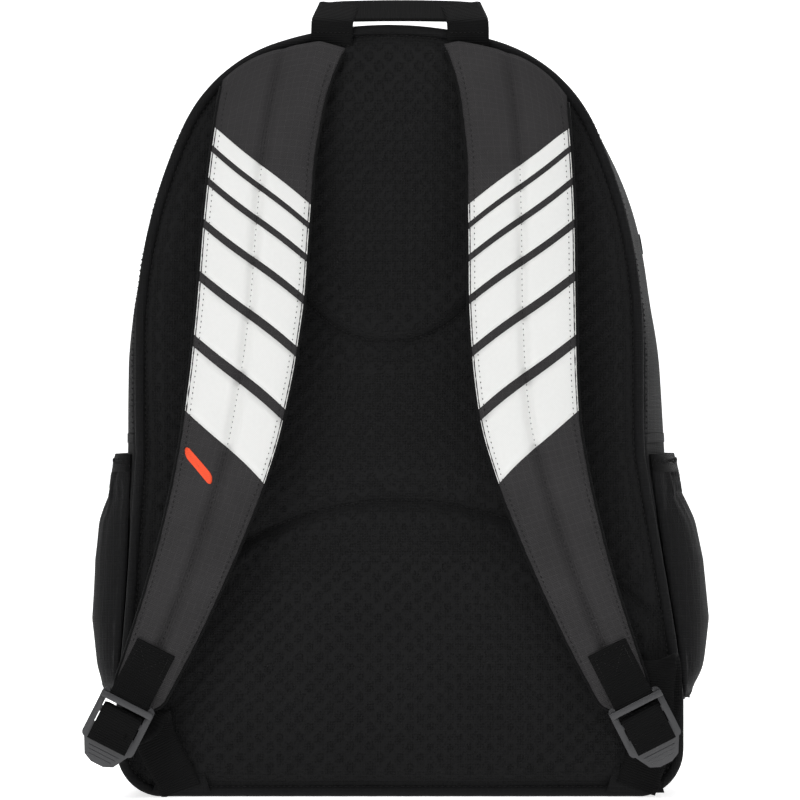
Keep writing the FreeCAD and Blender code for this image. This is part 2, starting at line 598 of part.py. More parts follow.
# ---- Haul loop ----------------------------------------------------------------------------------
def haul_loop():
    """Carrying loop at the top: a tilted grip on two short legs, and the ends sewn over the rolled edge."""
    tilt = Vector(0, HAUL_DEPTH, HAUL_RISE)
    up = Vector(0, -HAUL_RISE, HAUL_DEPTH).normalize() * HAUL_THICK
    near = Vector(0, HAUL_Y, HAUL_NEAR_Z)
    corners = [near + Vector(-HAUL_HALF, 0, 0), near + Vector(HAUL_HALF, 0, 0),
               near + tilt + Vector(HAUL_FAR_HALF, 0, 0), near + tilt + Vector(-HAUL_FAR_HALF, 0, 0)]
    grip = Part.Face(Part.makePolygon(corners + corners[:1])).extrude(up)
    leg = box(HAUL_HALF - WEBBING, HAUL_HALF, HAUL_Y - HAUL_THICK, HAUL_Y, HAUL_PIVOT_Z, HAUL_NEAR_Z + 1.2)
    save("haul_loop", grip.fuse(leg).fuse(mirrored(leg)).removeSplitter())
    end = box(HAUL_HALF - WEBBING, HAUL_HALF, HAUL_Y - HAUL_THICK, HAUL_Y, 452, HAUL_PIVOT_Z - 1.3)
    save("haul_loop_ends", end, mirrored(end))


back_panel()
bag_body()
divider_and_sleeve()
main_zip()
main_sliders()
racket_pocket()
accessory_pocket()
side_pockets()
straps()
haul_loop()
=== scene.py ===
"""A racket backpack with padded straps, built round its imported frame.

Lengths are in metres. The bag stands on its base, +Z is up, the back panel faces -Y and +X is to the
wearer's right.
"""

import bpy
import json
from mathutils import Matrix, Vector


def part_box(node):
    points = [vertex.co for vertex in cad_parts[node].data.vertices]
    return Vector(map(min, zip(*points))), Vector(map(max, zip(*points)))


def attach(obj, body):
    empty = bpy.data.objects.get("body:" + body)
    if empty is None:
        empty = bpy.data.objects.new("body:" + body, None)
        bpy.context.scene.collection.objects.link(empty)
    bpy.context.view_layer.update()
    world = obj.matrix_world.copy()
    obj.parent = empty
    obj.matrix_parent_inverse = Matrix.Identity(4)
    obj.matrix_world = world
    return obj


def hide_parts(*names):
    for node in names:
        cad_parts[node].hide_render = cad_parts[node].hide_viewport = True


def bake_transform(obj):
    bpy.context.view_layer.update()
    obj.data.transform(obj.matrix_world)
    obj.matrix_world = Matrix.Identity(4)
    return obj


bl_info = {
    "name": "Racket Backpack",
    "version": (1, 0, 0),
    "blender": (4, 5, 0),
    "location": "View3D > Sidebar > Backpack",
    "description": "Builds a padded racket backpack piece by piece",
    "category": "Add Mesh",
}

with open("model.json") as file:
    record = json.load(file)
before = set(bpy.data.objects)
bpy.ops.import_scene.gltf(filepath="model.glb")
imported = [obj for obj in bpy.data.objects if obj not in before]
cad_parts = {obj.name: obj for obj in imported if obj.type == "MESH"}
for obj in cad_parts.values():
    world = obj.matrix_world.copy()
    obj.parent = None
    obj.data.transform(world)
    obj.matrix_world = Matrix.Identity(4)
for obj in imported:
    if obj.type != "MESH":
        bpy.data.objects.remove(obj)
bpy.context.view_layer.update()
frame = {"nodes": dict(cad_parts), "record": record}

import json
import math

import bpy
import numpy as np
from mathutils import Matrix, Vector

MM = 0.001

# ---- Driving dimensions --------------------------------------------------------------------------
# Outlines seen from behind: a flared box with a three-centred arch on top.
KEYS = ("bottom", "half_base", "base_top", "half_side", "side_from", "spring", "top", "side_radius", "corner")
PANEL = dict(zip(KEYS, (6, 164, 60, 146.5, 205, 270, 457, 310, 22)))
MOUTH = dict(zip(KEYS, (2, 166, 100, 150, 290, 308, 458, 150, 30)))
RACKET = dict(zip(KEYS, (2, 166, 60, 151, 205, 235, 318, 100, 30)))
SIDE_TURN = math.radians(24.8)
SHOULDER_TURN = math.radians(72.0)

FACE_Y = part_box("back_mesh_face")[0].y
ROLL_BACK_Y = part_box("panel_edge_roll")[0].y
GUSSET_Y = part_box("panel_edge_roll")[1].y
MOUTH_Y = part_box("rear_gusset")[1].y
DIVIDER_Y, DIVIDER_FRONT_Y = (corner.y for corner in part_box("divider_wall"))
RACKET_Y, RACKET_FRONT_Y = (corner.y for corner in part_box("racket_pocket_front"))
ROLL = 6 * MM
ARCH_Z = MOUTH["spring"] * MM
ARCH_R = MOUTH["half_side"] * MM
FLAP_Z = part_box("flap_panel")[0].z
WALL_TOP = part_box("divider_wall")[1].z
ZIP_REACH = math.acos((FLAP_Z - ARCH_Z) / ARCH_R)

# Shoulder straps: (height, distance of the middle from the bag's centre line, half width), millimetres.
STRAP_LINE = ((457, 64.5, 37), (438, 68.5, 33.5), (420, 72, 32.5), (385, 76.5, 31.5), (340, 79, 32), (298, 80.5, 32), (256, 84, 31),
              (220, 89, 29.5), (187, 97.5, 27.5), (151, 109, 24.5), (118, 121, 22), (91, 132, 20), (66, 143, 17.5),
              (57, 147.5, 16.5))
STRAP_DEPTH = ((462, -103), (425, -106), (370, -116), (300, -123), (220, -124), (150, -120), (100, -116.5),
               (45, -116))
STRAP_LEAN = ((230, 11.0), (298, 8.0), (401, 4.8), (462, 2.4))     # height, and how far both straps hang to -X
LOCK_TURN = math.radians(27.0)
LOCK_BAR = (150.0, -126.0, 59.0)
WEBBING = 25 * MM
WEBBING_THICK = 1.6 * MM


# ---- Outlines ------------------------------------------------------------------------------------
def arc_points(centre, radius, start, end, count=40):
    angles = np.linspace(start, end, count)
    return np.column_stack((centre[0] + radius * np.cos(angles), centre[1] + radius * np.sin(angles)))


def resampled(points, count):
    """The same polyline with evenly spaced points."""
    points = np.asarray(points, float)
    run = np.concatenate(([0], np.cumsum(np.linalg.norm(np.diff(points, axis=0), axis=1))))
    at = np.linspace(0, run[-1], count)
    return np.column_stack([np.interp(at, run, points[:, k]) for k in range(points.shape[1])])


def half_outline(shape, grow=0.0, count=700):
    """Right half of an outline as (x, z) points in metres, from the bottom's middle to the top's middle."""
    s = shape
    c1, s1, c2, s2 = math.cos(SIDE_TURN), math.sin(SIDE_TURN), math.cos(SHOULDER_TURN), math.sin(SHOULDER_TURN)
    r1 = s["side_radius"]
    side = (s["half_side"] - r1, s["spring"])
    px, pz = side[0] + r1 * c1, side[1] + r1 * s1
    rise = s["top"] - pz
    r2 = (px * (1 - s2) - rise * c2) / ((c1 - c2) * (1 - s2) - (s2 - s1) * c2)
    r3 = (px - r2 * (c1 - c2)) / c2
    corner = (s["half_base"] - s["corner"], s["bottom"] + s["corner"])
    points = np.vstack((
        [(0, s["bottom"])],
        arc_points(corner, s["corner"], -math.pi / 2, 0),
        [(s["half_base"], s["base_top"]), (s["half_side"], s["side_from"])],
        arc_points(side, r1, 0, SIDE_TURN),
        arc_points((px - r2 * c1, pz - r2 * s1), r2, SIDE_TURN, SHOULDER_TURN),
        arc_points((0, s["top"] - r3), r3, SHOULDER_TURN, math.pi / 2),
    )) * MM
    points = resampled(points, count)
    for _ in range(12):
        points[1:-1] = (points[:-2] + 2 * points[1:-1] + points[2:]) / 4
    along = np.gradient(points, axis=0)
    along /= np.linalg.norm(along, axis=1)[:, None]
    points = points + np.column_stack((along[:, 1], -along[:, 0])) * grow
    points[0, 0] = points[-1, 0] = 0.0
    return points


def stretch_of(points, low, high, count):
    """Evenly spaced points of a half outline between two heights. None means its end."""
    keep = np.ones(len(points), bool)
    if low is not None:
        keep &= points[:, 1] >= low
    if high is not None:
        keep &= points[:, 1] <= high
    return resampled(points[keep], count)


def closed_outline(shape, grow, count):
    """The whole outline as a closed loop of (x, z) points, counter-clockwise from behind the bag."""
    half = half_outline(shape, grow)
    loop = np.vstack((half, (half * (-1, 1))[-2:0:-1]))
    return resampled(np.vstack((loop, loop[:1])), count + 1)[:-1]


def half_width(shape, grow, z):
    """Half width of an outline at some heights."""
    points = half_outline(shape, grow)
    points = points[points[:, 1].argmin() + 1:]
    order = np.argsort(points[:, 1])
    return np.interp(z, points[order, 1], points[order, 0])


# ---- Mesh helpers --------------------------------------------------------------------------------
def creased(x, y, z, size, seed):
    """A smooth, repeatable wrinkle field between about -1 and 1."""
    total = 0.0
    for k in range(5):
        a = seed * 1.7 + k * 2.39
        f = (1.0 + 0.53 * k) / size
        total = total + np.sin(f * (x * math.cos(a) + y * math.sin(1.3 * a) + z * math.sin(a))
                               + 1.9 * np.sin(0.6 * f * (z * math.cos(a) - x * math.sin(a)) + a) + seed + k) / (k + 1.5)
    return total / 1.6


def smoothstep(low, high, value):
    t = np.clip((value - low) / (high - low), 0, 1)
    return t * t * (3 - 2 * t)


def new_piece(name, points, faces, body, slot, replaces=(), uv=None, flat=False):
    """Makes a mesh piece with outward normals that rides on a body."""
    mesh = bpy.data.meshes.new(name)
    mesh.from_pydata([tuple(map(float, p)) for p in points], [], faces)
    mesh.validate()
    if uv is not None:
        layer = mesh.uv_layers.new(name="cloth")
        at = np.array([loop.vertex_index for loop in mesh.loops])
        layer.data.foreach_set("uv", np.asarray(uv, np.float32)[at].ravel())
    piece = bpy.data.objects.new(name, mesh)
    bpy.context.scene.collection.objects.link(piece)
    face_outwards(piece)
    if not flat:
        mesh.shade_smooth()
    return finish_piece(piece, body, slot, replaces)


def face_outwards(piece):
    only(piece)
    bpy.ops.object.mode_set(mode="EDIT")
    bpy.ops.mesh.select_all(action="SELECT")
    bpy.ops.mesh.normals_make_consistent(inside=False)
    bpy.ops.object.mode_set(mode="OBJECT")


def only(piece):
    """Makes a piece the only selected and active object."""
    bpy.ops.object.select_all(action="DESELECT")
    piece.select_set(True)
    bpy.context.view_layer.objects.active = piece


def finish_piece(piece, body, slot, replaces=()):
    """Parents a piece to its body if it has one, gives it the material of its slot and hides the nodes it stands for.
    """
    if body:
        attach(piece, body)
    if replaces:
        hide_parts(*replaces)
    piece.data.materials.clear()
    piece.data.materials.append(finish_of(slot))
    return piece


def quads(rows, columns, wrap=False, start=0):
    """Faces of a grid of points stored row by row. wrap joins the last column to the first."""
    faces = []
    for r in range(rows - 1):
        for c in range(columns if wrap else columns - 1):
            n = (c + 1) % columns
            faces.append((start + r * columns + c, start + r * columns + n,
                          start + (r + 1) * columns + n, start + (r + 1) * columns + c))
    return faces


def grid_normals(grid, wrap=False):
    """Unit normals of a rows x columns x 3 grid."""
    if wrap:
        grid = np.concatenate((grid[:, -1:], grid, grid[:, :1]), axis=1)
    across = np.gradient(grid, axis=1)
    along = np.gradient(grid, axis=0)
    normal = np.cross(across, along)
    normal /= np.maximum(np.linalg.norm(normal, axis=2), 1e-12)[..., None]
    return normal[:, 1:-1] if wrap else normal


def cloth_panel(name, grid, thick, body, slot, replaces=(), side=1, wrap=False, uv=None):
    """A sheet of cloth with a thickness. The grid is its outer face, and side says which way is inwards."""
    rows, columns = grid.shape[:2]
    inner = grid - grid_normals(grid, wrap) * thick * side
    points = np.vstack((grid.reshape(-1, 3), inner.reshape(-1, 3)))
    size = rows * columns
    faces = quads(rows, columns, wrap)
    faces += [tuple(i + size for i in reversed(face)) for face in quads(rows, columns, wrap)]
    last = columns if wrap else columns - 1
    for c in range(last):
        n = (c + 1) % columns
        faces.append((n, c, size + c, size + n))
        b = (rows - 1) * columns
        faces.append((b + c, b + n, size + b + n, size + b + c))
    if not wrap:
        for r in range(rows - 1):
            a, b = r * columns, (r + 1) * columns
            faces.append((a, b, size + b, size + a))
            a, b = a + columns - 1, b + columns - 1
            faces.append((b, a, size + a, size + b))
    if uv is not None:
        uv = np.vstack((uv.reshape(-1, 2), uv.reshape(-1, 2)))
    return new_piece(name, points, faces, body, slot, replaces, uv)


def swept(name, path, section, ups, body, slot, replaces=(), closed=False, make=True):
    """Sweeps a closed (side, up) section along a path whose up directions are given."""
    path, ups = np.asarray(path, float), np.asarray(ups, float)
    if closed:
        along = np.roll(path, -1, axis=0) - np.roll(path, 1, axis=0)
    else:
        along = np.gradient(path, axis=0)
    along /= np.linalg.norm(along, axis=1)[:, None]
    sides = np.cross(along, ups)
    sides /= np.linalg.norm(sides, axis=1)[:, None]
    ups = np.cross(sides, along)
    section = np.asarray(section, float)
    rings = path[:, None] + sides[:, None] * section[None, :, :1] + ups[:, None] * section[None, :, 1:]
    count, size = len(path), len(section)
    if closed:
        rings = np.concatenate((rings, rings[:1]))
        faces = [tuple(i % (count * size) for i in face) for face in quads(count + 1, size, wrap=True)]
        points = rings[:-1].reshape(-1, 3)
    else:
        faces = quads(count, size, wrap=True)
        faces.append(tuple(range(size))[::-1])
        faces.append(tuple((count - 1) * size + i for i in range(size)))
        points = rings.reshape(-1, 3)
    run = np.concatenate(([0], np.cumsum(np.linalg.norm(np.diff(path, axis=0), axis=1))))
    uv = np.array([(side, at) for at in run for side in section[:, 0]])
    if not make:
        return points, faces, uv
    return new_piece(name, points, faces, body, slot, replaces, uv)


def round_section(radius, sides=8, squash=1.0):
    return [(radius * math.cos(2 * math.pi * k / sides), squash * radius * math.sin(2 * math.pi * k / sides))
            for k in range(sides)]


def strip_section(width, thick, columns=12, crown=0.0):
    """Section of webbing: a thin strip with rounded edges and a little crown."""
    half, t = width / 2, thick / 2
    top = []
    for k in range(columns + 1):
        a = -1 + 2 * k / columns
        edge = 1 - 0.75 * max(0.0, (abs(a) - 0.88) / 0.12) ** 2
        top.append((half * a, t * edge + crown * (1 - a * a)))
    return top + [(x, y - 2 * (y - crown * (1 - (x / half) ** 2))) for x, y in reversed(top)]


def merged(name, parts, body, slot, replaces=()):
    """One piece from several (points, faces, uv) meshes."""
    points, faces, uvs = [], [], []
    for part_points, part_faces, part_uv in parts:
        offset = sum(len(p) for p in points)
        points.append(np.asarray(part_points))
        uvs.append(np.asarray(part_uv))
        faces += [tuple(i + offset for i in face) for face in part_faces]
    return new_piece(name, np.vstack(points), faces, body, slot, replaces, np.vstack(uvs))


def stitch_line(path, ups, pitch=3.2 * MM, long=2.3 * MM, radius=0.32 * MM, proud=0.1 * MM):
    """Stitches along a path, each a small six-sided grain that dips at both ends."""
    path, ups = np.asarray(path, float), np.asarray(ups, float)
    run = np.concatenate(([0], np.cumsum(np.linalg.norm(np.diff(path, axis=0), axis=1))))
    parts = []
    at = pitch / 2
    while at < run[-1]:
        stops = (at - long / 2, at, at + long / 2)
        spots = np.column_stack([np.interp(stops, run, path[:, k]) for k in range(3)])
        up = np.array([np.interp(at, run, ups[:, k]) for k in range(3)])
        up /= np.linalg.norm(up)
        along = spots[2] - spots[0]
        along /= max(np.linalg.norm(along), 1e-9)
        side = np.cross(along, up)
        middle = spots[1] + up * (proud + radius)
        ring = [middle + side * radius, middle + up * radius, middle - side * radius, middle - up * 2 * radius]
        points = [spots[0] - up * radius, *ring, spots[2] - up * radius]
        faces = [(0, 1 + k, 1 + (k + 1) % 4) for k in range(4)] + [(5, 1 + (k + 1) % 4, 1 + k) for k in range(4)]
        parts.append((points, faces, [(0.0, 0.0)] * 6))
        at += pitch
    return parts


# ---- Finishes ------------------------------------------------------------------------------------
class Finish:
    """A procedural material under construction: a shader plus the nodes that feed it."""

    def __init__(self, name, roughness, sheen=0.0, metallic=0.0, specular=0.35, coat=0.0):
        self.material = bpy.data.materials.new(name)
        self.material.use_nodes = True
        self.tree = self.material.node_tree
        self.shader = self.tree.nodes["Principled BSDF"]
        self.set("Roughness", roughness)
        self.set("Metallic", metallic)
        self.set("Specular IOR Level", specular)
        self.set("Sheen Weight", sheen)
        self.set("Sheen Roughness", 0.4)
        self.set("Coat Weight", coat)

    def set(self, socket, value):
        self.shader.inputs[socket].default_value = value

    def node(self, kind, values=None, **options):
        """Adds a node. Values are numbers or colours for its sockets, or output sockets to link to them."""
        node = self.tree.nodes.new(kind)
        for key, value in options.items():
            setattr(node, key, value)
        for key, value in (values or {}).items():
            if isinstance(value, bpy.types.NodeSocket):
                self.tree.links.new(value, node.inputs[key])
            else:
                node.inputs[key].default_value = value
        return node

    def math(self, operation, first, second=0.0):
        return self.node("ShaderNodeMath", {0: first, 1: second}, operation=operation).outputs[0]

    def place(self, space, scale=(1, 1, 1), turn=0.0):
        """Coordinates from the object's own space or from its cloth UV map."""
        source = self.node("ShaderNodeTexCoord").outputs["UV" if space == "UV" else "Object"]
        return self.node("ShaderNodeMapping", {"Vector": source, "Scale": scale, "Rotation": (0, 0, turn)}).outputs[0]

    def noise(self, at, scale, detail=3.0):
        return self.node("ShaderNodeTexNoise", {"Vector": at, "Scale": scale, "Detail": detail}).outputs["Fac"]

    def bands(self, at, axis, pitch):
        """Smooth bands across an axis, from 0 to 1, with a pitch in metres."""
        return self.node("ShaderNodeTexWave", {"Vector": at, "Scale": 1 / (3.1831 * pitch)},
                         wave_type="BANDS", bands_direction=axis).outputs["Fac"]

    def lines(self, at, axis, pitch, share):
        """Thin lines a pitch apart that take up a share of it."""
        return self.node("ShaderNodeMapRange", {"Value": self.bands(at, axis, pitch), "From Min": 1 - share,
                                                "From Max": 1.0}).outputs[0]

    def shade(self, factor, dark, light):
        """Links a blend of two colours to the surface colour."""
        mix = self.node("ShaderNodeMix", {"Factor": factor}, data_type="RGBA")
        mix.inputs[6].default_value = (*dark, 1)
        mix.inputs[7].default_value = (*light, 1)
        self.tree.links.new(mix.outputs[2], self.shader.inputs["Base Color"])

    def bump(self, height, distance, strength=1.0):
        bump = self.node("ShaderNodeBump", {"Height": height, "Distance": distance, "Strength": strength})
        self.tree.links.new(bump.outputs[0], self.shader.inputs["Normal"])

    def rough(self, factor, low, high):
        value = self.node("ShaderNodeMapRange", {"Value": factor, "To Min": low, "To Max": high}).outputs[0]
        self.tree.links.new(value, self.shader.inputs["Roughness"])


def scaled(colour, by):
    return tuple(min(1.0, c * by) for c in colour)


def woven(name, colour, pitch=0.9 * MM, space="Object", ripstop=0.0, roughness=0.78, sheen=0.02, depth=0.12 * MM,
          twill=False, contrast=0.35):
    """Plain or twill weave with a soft mottle, and a ripstop grid where its pitch is given."""
    f = Finish(name, roughness, sheen, specular=0.12)
    at = f.place(space)
    if twill:
        turned = f.place(space, turn=math.radians(38))
        weave = f.math("ADD", f.math("MULTIPLY", f.bands(turned, "X", pitch), 0.8),
                       f.math("MULTIPLY", f.bands(at, "Y", pitch * 0.6), 0.2))
    elif space == "UV":
        weave = f.math("MULTIPLY", f.bands(at, "X", pitch), f.bands(at, "Y", pitch))
    else:
        x, y, z = (f.bands(at, axis, pitch) for axis in "XYZ")
        weave = f.math("MULTIPLY", f.math("ADD", x, y), z)
    mottle = f.noise(at, 28.0, 4.0)
    height = weave
    if ripstop:
        grid = f.lines(at, "X", ripstop, 0.07)
        grid = f.math("MAXIMUM", grid, f.lines(at, "Y", ripstop, 0.07))
        if space != "UV":
            grid = f.math("MAXIMUM", grid, f.lines(at, "Z", ripstop, 0.07))
        height = f.math("ADD", weave, f.math("MULTIPLY", grid, 1.2))
    tone = f.math("ADD", f.math("MULTIPLY", height, contrast), f.math("MULTIPLY", mottle, 0.6))
    f.shade(tone, scaled(colour, 0.62), scaled(colour, 1.45))
    f.bump(height, depth)
    return f.material


def webbing_finish(name, colour, rib=1.5 * MM, roughness=0.78):
    """Ribbed webbing: ribs across it, with yarns that run along."""
    f = Finish(name, roughness, sheen=0.02, specular=0.1)
    at = f.place("UV")
    ribs = f.bands(at, "Y", rib)
    yarns = f.bands(at, "X", 1.1 * MM)
    height = f.math("ADD", f.math("MULTIPLY", ribs, 0.75), f.math("MULTIPLY", yarns, 0.25))
    tone = f.math("ADD", f.math("MULTIPLY", height, 0.5), f.math("MULTIPLY", f.noise(at, 60.0), 0.4))
    f.shade(tone, scaled(colour, 0.5), scaled(colour, 1.7))
    f.bump(height, 0.3 * MM)
    return f.material


def mesh_finish(name, colour):
    """Knitted spacer mesh: small open cells between raised yarns."""
    f = Finish(name, 0.9, sheen=0.03, specular=0.12)
    at = f.place("Object")
    cells = f.node("ShaderNodeTexVoronoi", {"Vector": at, "Scale": 1 / (1.5 * MM), "Randomness": 0.35}).outputs["Distance"]
    open_cell = f.node("ShaderNodeMapRange", {"Value": cells, "From Min": 0.15, "From Max": 0.55}).outputs[0]
    tone = f.math("ADD", f.math("MULTIPLY", open_cell, 0.7), f.math("MULTIPLY", f.noise(at, 22.0), 0.35))
    f.shade(tone, scaled(colour, 0.35), scaled(colour, 1.6))
    f.bump(open_cell, 0.35 * MM)
    return f.material


def moulded(name, colour, roughness, metallic=0.0, grain=700.0, depth=0.03 * MM, coat=0.0):
    """Moulded or cast surface with a fine grain and a slightly uneven gloss."""
    f = Finish(name, roughness, metallic=metallic, specular=0.5, coat=coat)
    at = f.place("Object")
    fine, broad = f.noise(at, grain), f.noise(at, 45.0)
    f.shade(broad, scaled(colour, 0.8), scaled(colour, 1.25))
    f.rough(broad, roughness * 0.8, min(1.0, roughness * 1.2))
    f.bump(fine, depth)
    return f.material


def printed(name, colour):
    """Print on twill: the cloth's ribs show faintly through a smooth film."""
    f = Finish(name, 0.55, specular=0.3)
    at = f.place("UV", turn=math.radians(38))
    ribs = f.bands(at, "X", 0.9 * MM)
    grain = f.noise(at, 420.0)
    tone = f.math("ADD", f.math("MULTIPLY", ribs, 0.4), f.math("MULTIPLY", grain, 0.6))
    f.shade(tone, scaled(colour, 0.93), scaled(colour, 1.03))
    f.bump(tone, 0.06 * MM)
    return f.material


def studio_white(name):
    """Pale seamless paper."""
    f = Finish(name, 0.9, specular=0.1)
    at = f.place("Object")
    f.shade(f.noise(at, 3.0), (0.90, 0.90, 0.90), (0.93, 0.93, 0.93))
    f.set("Emission Color", (1, 1, 1, 1))
    f.set("Emission Strength", 0.7)
    return f.material


FINISHES = {}


def finish_of(slot):
    """The material of a slot, made the first time that it is asked for."""
    if slot in FINISHES:
        return FINISHES[slot]
    colours = bpy.context.scene.backpack_colours
    shell, mesh, twill = tuple(colours.shell), tuple(colours.mesh), tuple(colours.strap)
    webbing, lining = tuple(colours.webbing), tuple(colours.lining)
    makers = {
        "air_mesh": lambda: mesh_finish("Air mesh", mesh),
        "shell_fabric": lambda: woven("Outer fabric", shell, 1.0 * MM, ripstop=4.6 * MM),
        "base_fabric": lambda: woven("Base fabric", scaled(shell, 0.8), 1.4 * MM, roughness=0.6, depth=0.2 * MM),
        "strap_twill": lambda: woven("Strap twill", twill, 1.1 * MM, "UV", ripstop=4.2 * MM, twill=True, contrast=0.3,
                                     roughness=0.7, depth=0.16 * MM),
        "lining": lambda: woven("Lining", lining, 0.7 * MM, roughness=0.6, sheen=0.1),
        "binding": lambda: webbing_finish("Grosgrain binding", scaled(webbing, 1.5), 1.0 * MM),
        "webbing": lambda: webbing_finish("Webbing", webbing),
        "elastic": lambda: webbing_finish("Elastic", scaled(webbing, 1.3), 0.9 * MM, 0.7),
        "zip_tape": lambda: woven("Zip tape", scaled(webbing, 1.1), 0.6 * MM, roughness=0.7),
        "zip_teeth": lambda: moulded("Zip teeth", (0.02, 0.02, 0.021), 0.35),
        "slider_metal": lambda: moulded("Slider enamel", (0.03, 0.03, 0.032), 0.3, 0.75, coat=0.3),
        "pull_rubber": lambda: moulded("Pull rubber", (0.022, 0.022, 0.023), 0.5, depth=0.05 * MM),
        "moulded_plastic": lambda: moulded("Moulded plastic", (0.030, 0.030, 0.032), 0.36),
        "foam": lambda: moulded("Closed-cell foam", (0.2, 0.2, 0.21), 0.85, grain=900.0, depth=0.2 * MM),
        "frame_sheet": lambda: moulded("Frame sheet", (0.62, 0.62, 0.6), 0.5),
        "white_print": lambda: printed("White print", tuple(colours.print_white)),
        "accent_print": lambda: printed("Accent print", tuple(colours.accent)),
        "stitching": lambda: woven("Thread", scaled(twill, 0.55), 0.3 * MM, roughness=0.6),
    }
    FINISHES[slot] = makers[slot]()
    return FINISHES[slot]


# ---- Studio --------------------------------------------------------------------------------------
PICTURE = 480 * MM        # width of the view at the back panel
VIEW_DISTANCE = 3.2


def make_stage():
    """Pale seamless floor and backdrop, four soft lights and the camera."""
    studio = bpy.context.scene.backpack_studio
    studio = bpy.context.scene.backpack_studio
    studio = bpy.context.scene.backpack_studio
    studio = bpy.context.scene.backpack_studio
    studio = bpy.context.scene.backpack_studio
    studio = bpy.context.scene.backpack_studio
    studio = bpy.context.scene.backpack_studio
    studio = bpy.context.scene.backpack_studio
    bpy.ops.object.select_all(action="DESELECT")
    profile = [(-16.0, 0.0)] + [(3.9 + 0.7 * math.sin(a), 0.7 - 0.7 * math.cos(a)) for a in np.linspace(0, math.pi / 2, 12)]
    profile.append((4.6, 4.5))
    points = [(x, y, z) for y, z in profile for x in (-5.0, 5.0)]
    mesh = bpy.data.meshes.new("studio_sweep")
    mesh.from_pydata(points, [], [(2 * k, 2 * k + 1, 2 * k + 3, 2 * k + 2) for k in range(len(profile) - 1)])
    sweep = bpy.data.objects.new("studio_sweep", mesh)
    bpy.context.scene.collection.objects.link(sweep)
    mesh.shade_smooth()
    mesh.materials.append(studio_white("Studio paper"))

    world = bpy.data.worlds.new("Studio")
    bpy.context.scene.world = world
    world.use_nodes = True
    world.node_tree.nodes["Background"].inputs["Color"].default_value = (0.95, 0.97, 1.0, 1)
    world.node_tree.nodes["Background"].inputs["Strength"].default_value = studio.sky
    for name, spot, size, power in (("key", (-0.9, -1.9, 2.1), 1.3, studio.key), ("fill", (1.7, -1.8, 1.0), 1.6, studio.fill),
                                    ("top", (0.1, 0.3, 2.4), 1.5, studio.top), ("rim", (1.2, 2.2, 1.5), 1.4, studio.rim)):
        light = bpy.data.objects.new(f"{name}_light", bpy.data.lights.new(name, "AREA"))
        light.data.shape = "SQUARE"
        light.data.size = size
        light.data.energy = power
        light.location = spot
        light.rotation_euler = (Vector((0, 0, 0.25)) - Vector(spot)).to_track_quat("-Z", "Y").to_euler()
        bpy.context.scene.collection.objects.link(light)

    camera = bpy.data.objects.new("camera", bpy.data.cameras.new("camera"))
    bpy.context.scene.collection.objects.link(camera)
    camera.location = (0, FACE_Y - VIEW_DISTANCE, studio.eye)
    camera.rotation_euler = (math.pi / 2, 0, 0)
    camera.data.sensor_width = 36
    camera.data.lens = 36 * VIEW_DISTANCE / PICTURE
    bpy.context.scene.camera = camera
    bpy.context.scene.view_settings.view_transform = "Standard"


# ---- Back panel ----------------------------------------------------------------------------------
LEAN = 6.5 * MM           # the back of the arch hangs this much to -X
TONGUE_R, TONGUE_Z = 62 * MM, 335 * MM
DOME_HALF, DOME_SIDE_Z, DOME_TOP_Z = 157 * MM, 94 * MM, 178 * MM


def leaned(points):
    """Lets the upper back of the bag hang a little to one side, fading out towards the zip."""
    points = np.array(points, float)
    y, z = points[..., 1], points[..., 2]
    points[..., 0] -= LEAN * smoothstep(0.07, 0.24, z) * (1 - smoothstep(-0.085, -0.005, y))
    return points


def pad_height(x, z, edge):
    """How far the quilted mesh stands off the panel, at distance edge from the panel's rim."""
    tongue = TONGUE_R - np.where(z > TONGUE_Z, np.abs(x), np.hypot(x, z - TONGUE_Z))
    rise = DOME_TOP_Z - DOME_SIDE_Z
    dome_r = (DOME_HALF ** 2 + rise ** 2) / (2 * rise)
    dome = np.minimum(dome_r - np.hypot(x - 4 * MM, z - DOME_TOP_Z + dome_r), DOME_HALF - np.abs(x))
    height = np.zeros_like(x)
    for inside in (tongue, dome):
        height += 3.6 * MM * smoothstep(0, 8 * MM, inside) + 1.3 * MM * smoothstep(0, 45 * MM, inside)
        height -= 2.4 * MM * np.exp(-(inside / (1.9 * MM)) ** 2)
    between = np.minimum(-tongue, -dome)
    height += 2.6 * MM * smoothstep(0, 22 * MM, between)
    pitch = 12 * MM
    dimple = np.zeros_like(x)
    for shift in (0, pitch / 2):
        dx = (x + shift + pitch / 2) % pitch - pitch / 2
        dz = (z + shift + pitch / 2) % pitch - pitch / 2
        dimple = np.maximum(dimple, np.exp(-((dx / (2.7 * MM)) ** 2 + (dz / (3.1 * MM)) ** 2) ** 1.4))
    quiet = smoothstep(2 * MM, 5 * MM, np.abs(tongue)) * smoothstep(2 * MM, 5 * MM, np.abs(dome))
    height -= 1.6 * MM * dimple * quiet * smoothstep(3 * MM, 8 * MM, edge)
    return (height + 0.6 * MM) * smoothstep(-1 * MM, 11 * MM, edge) - 0.8 * MM


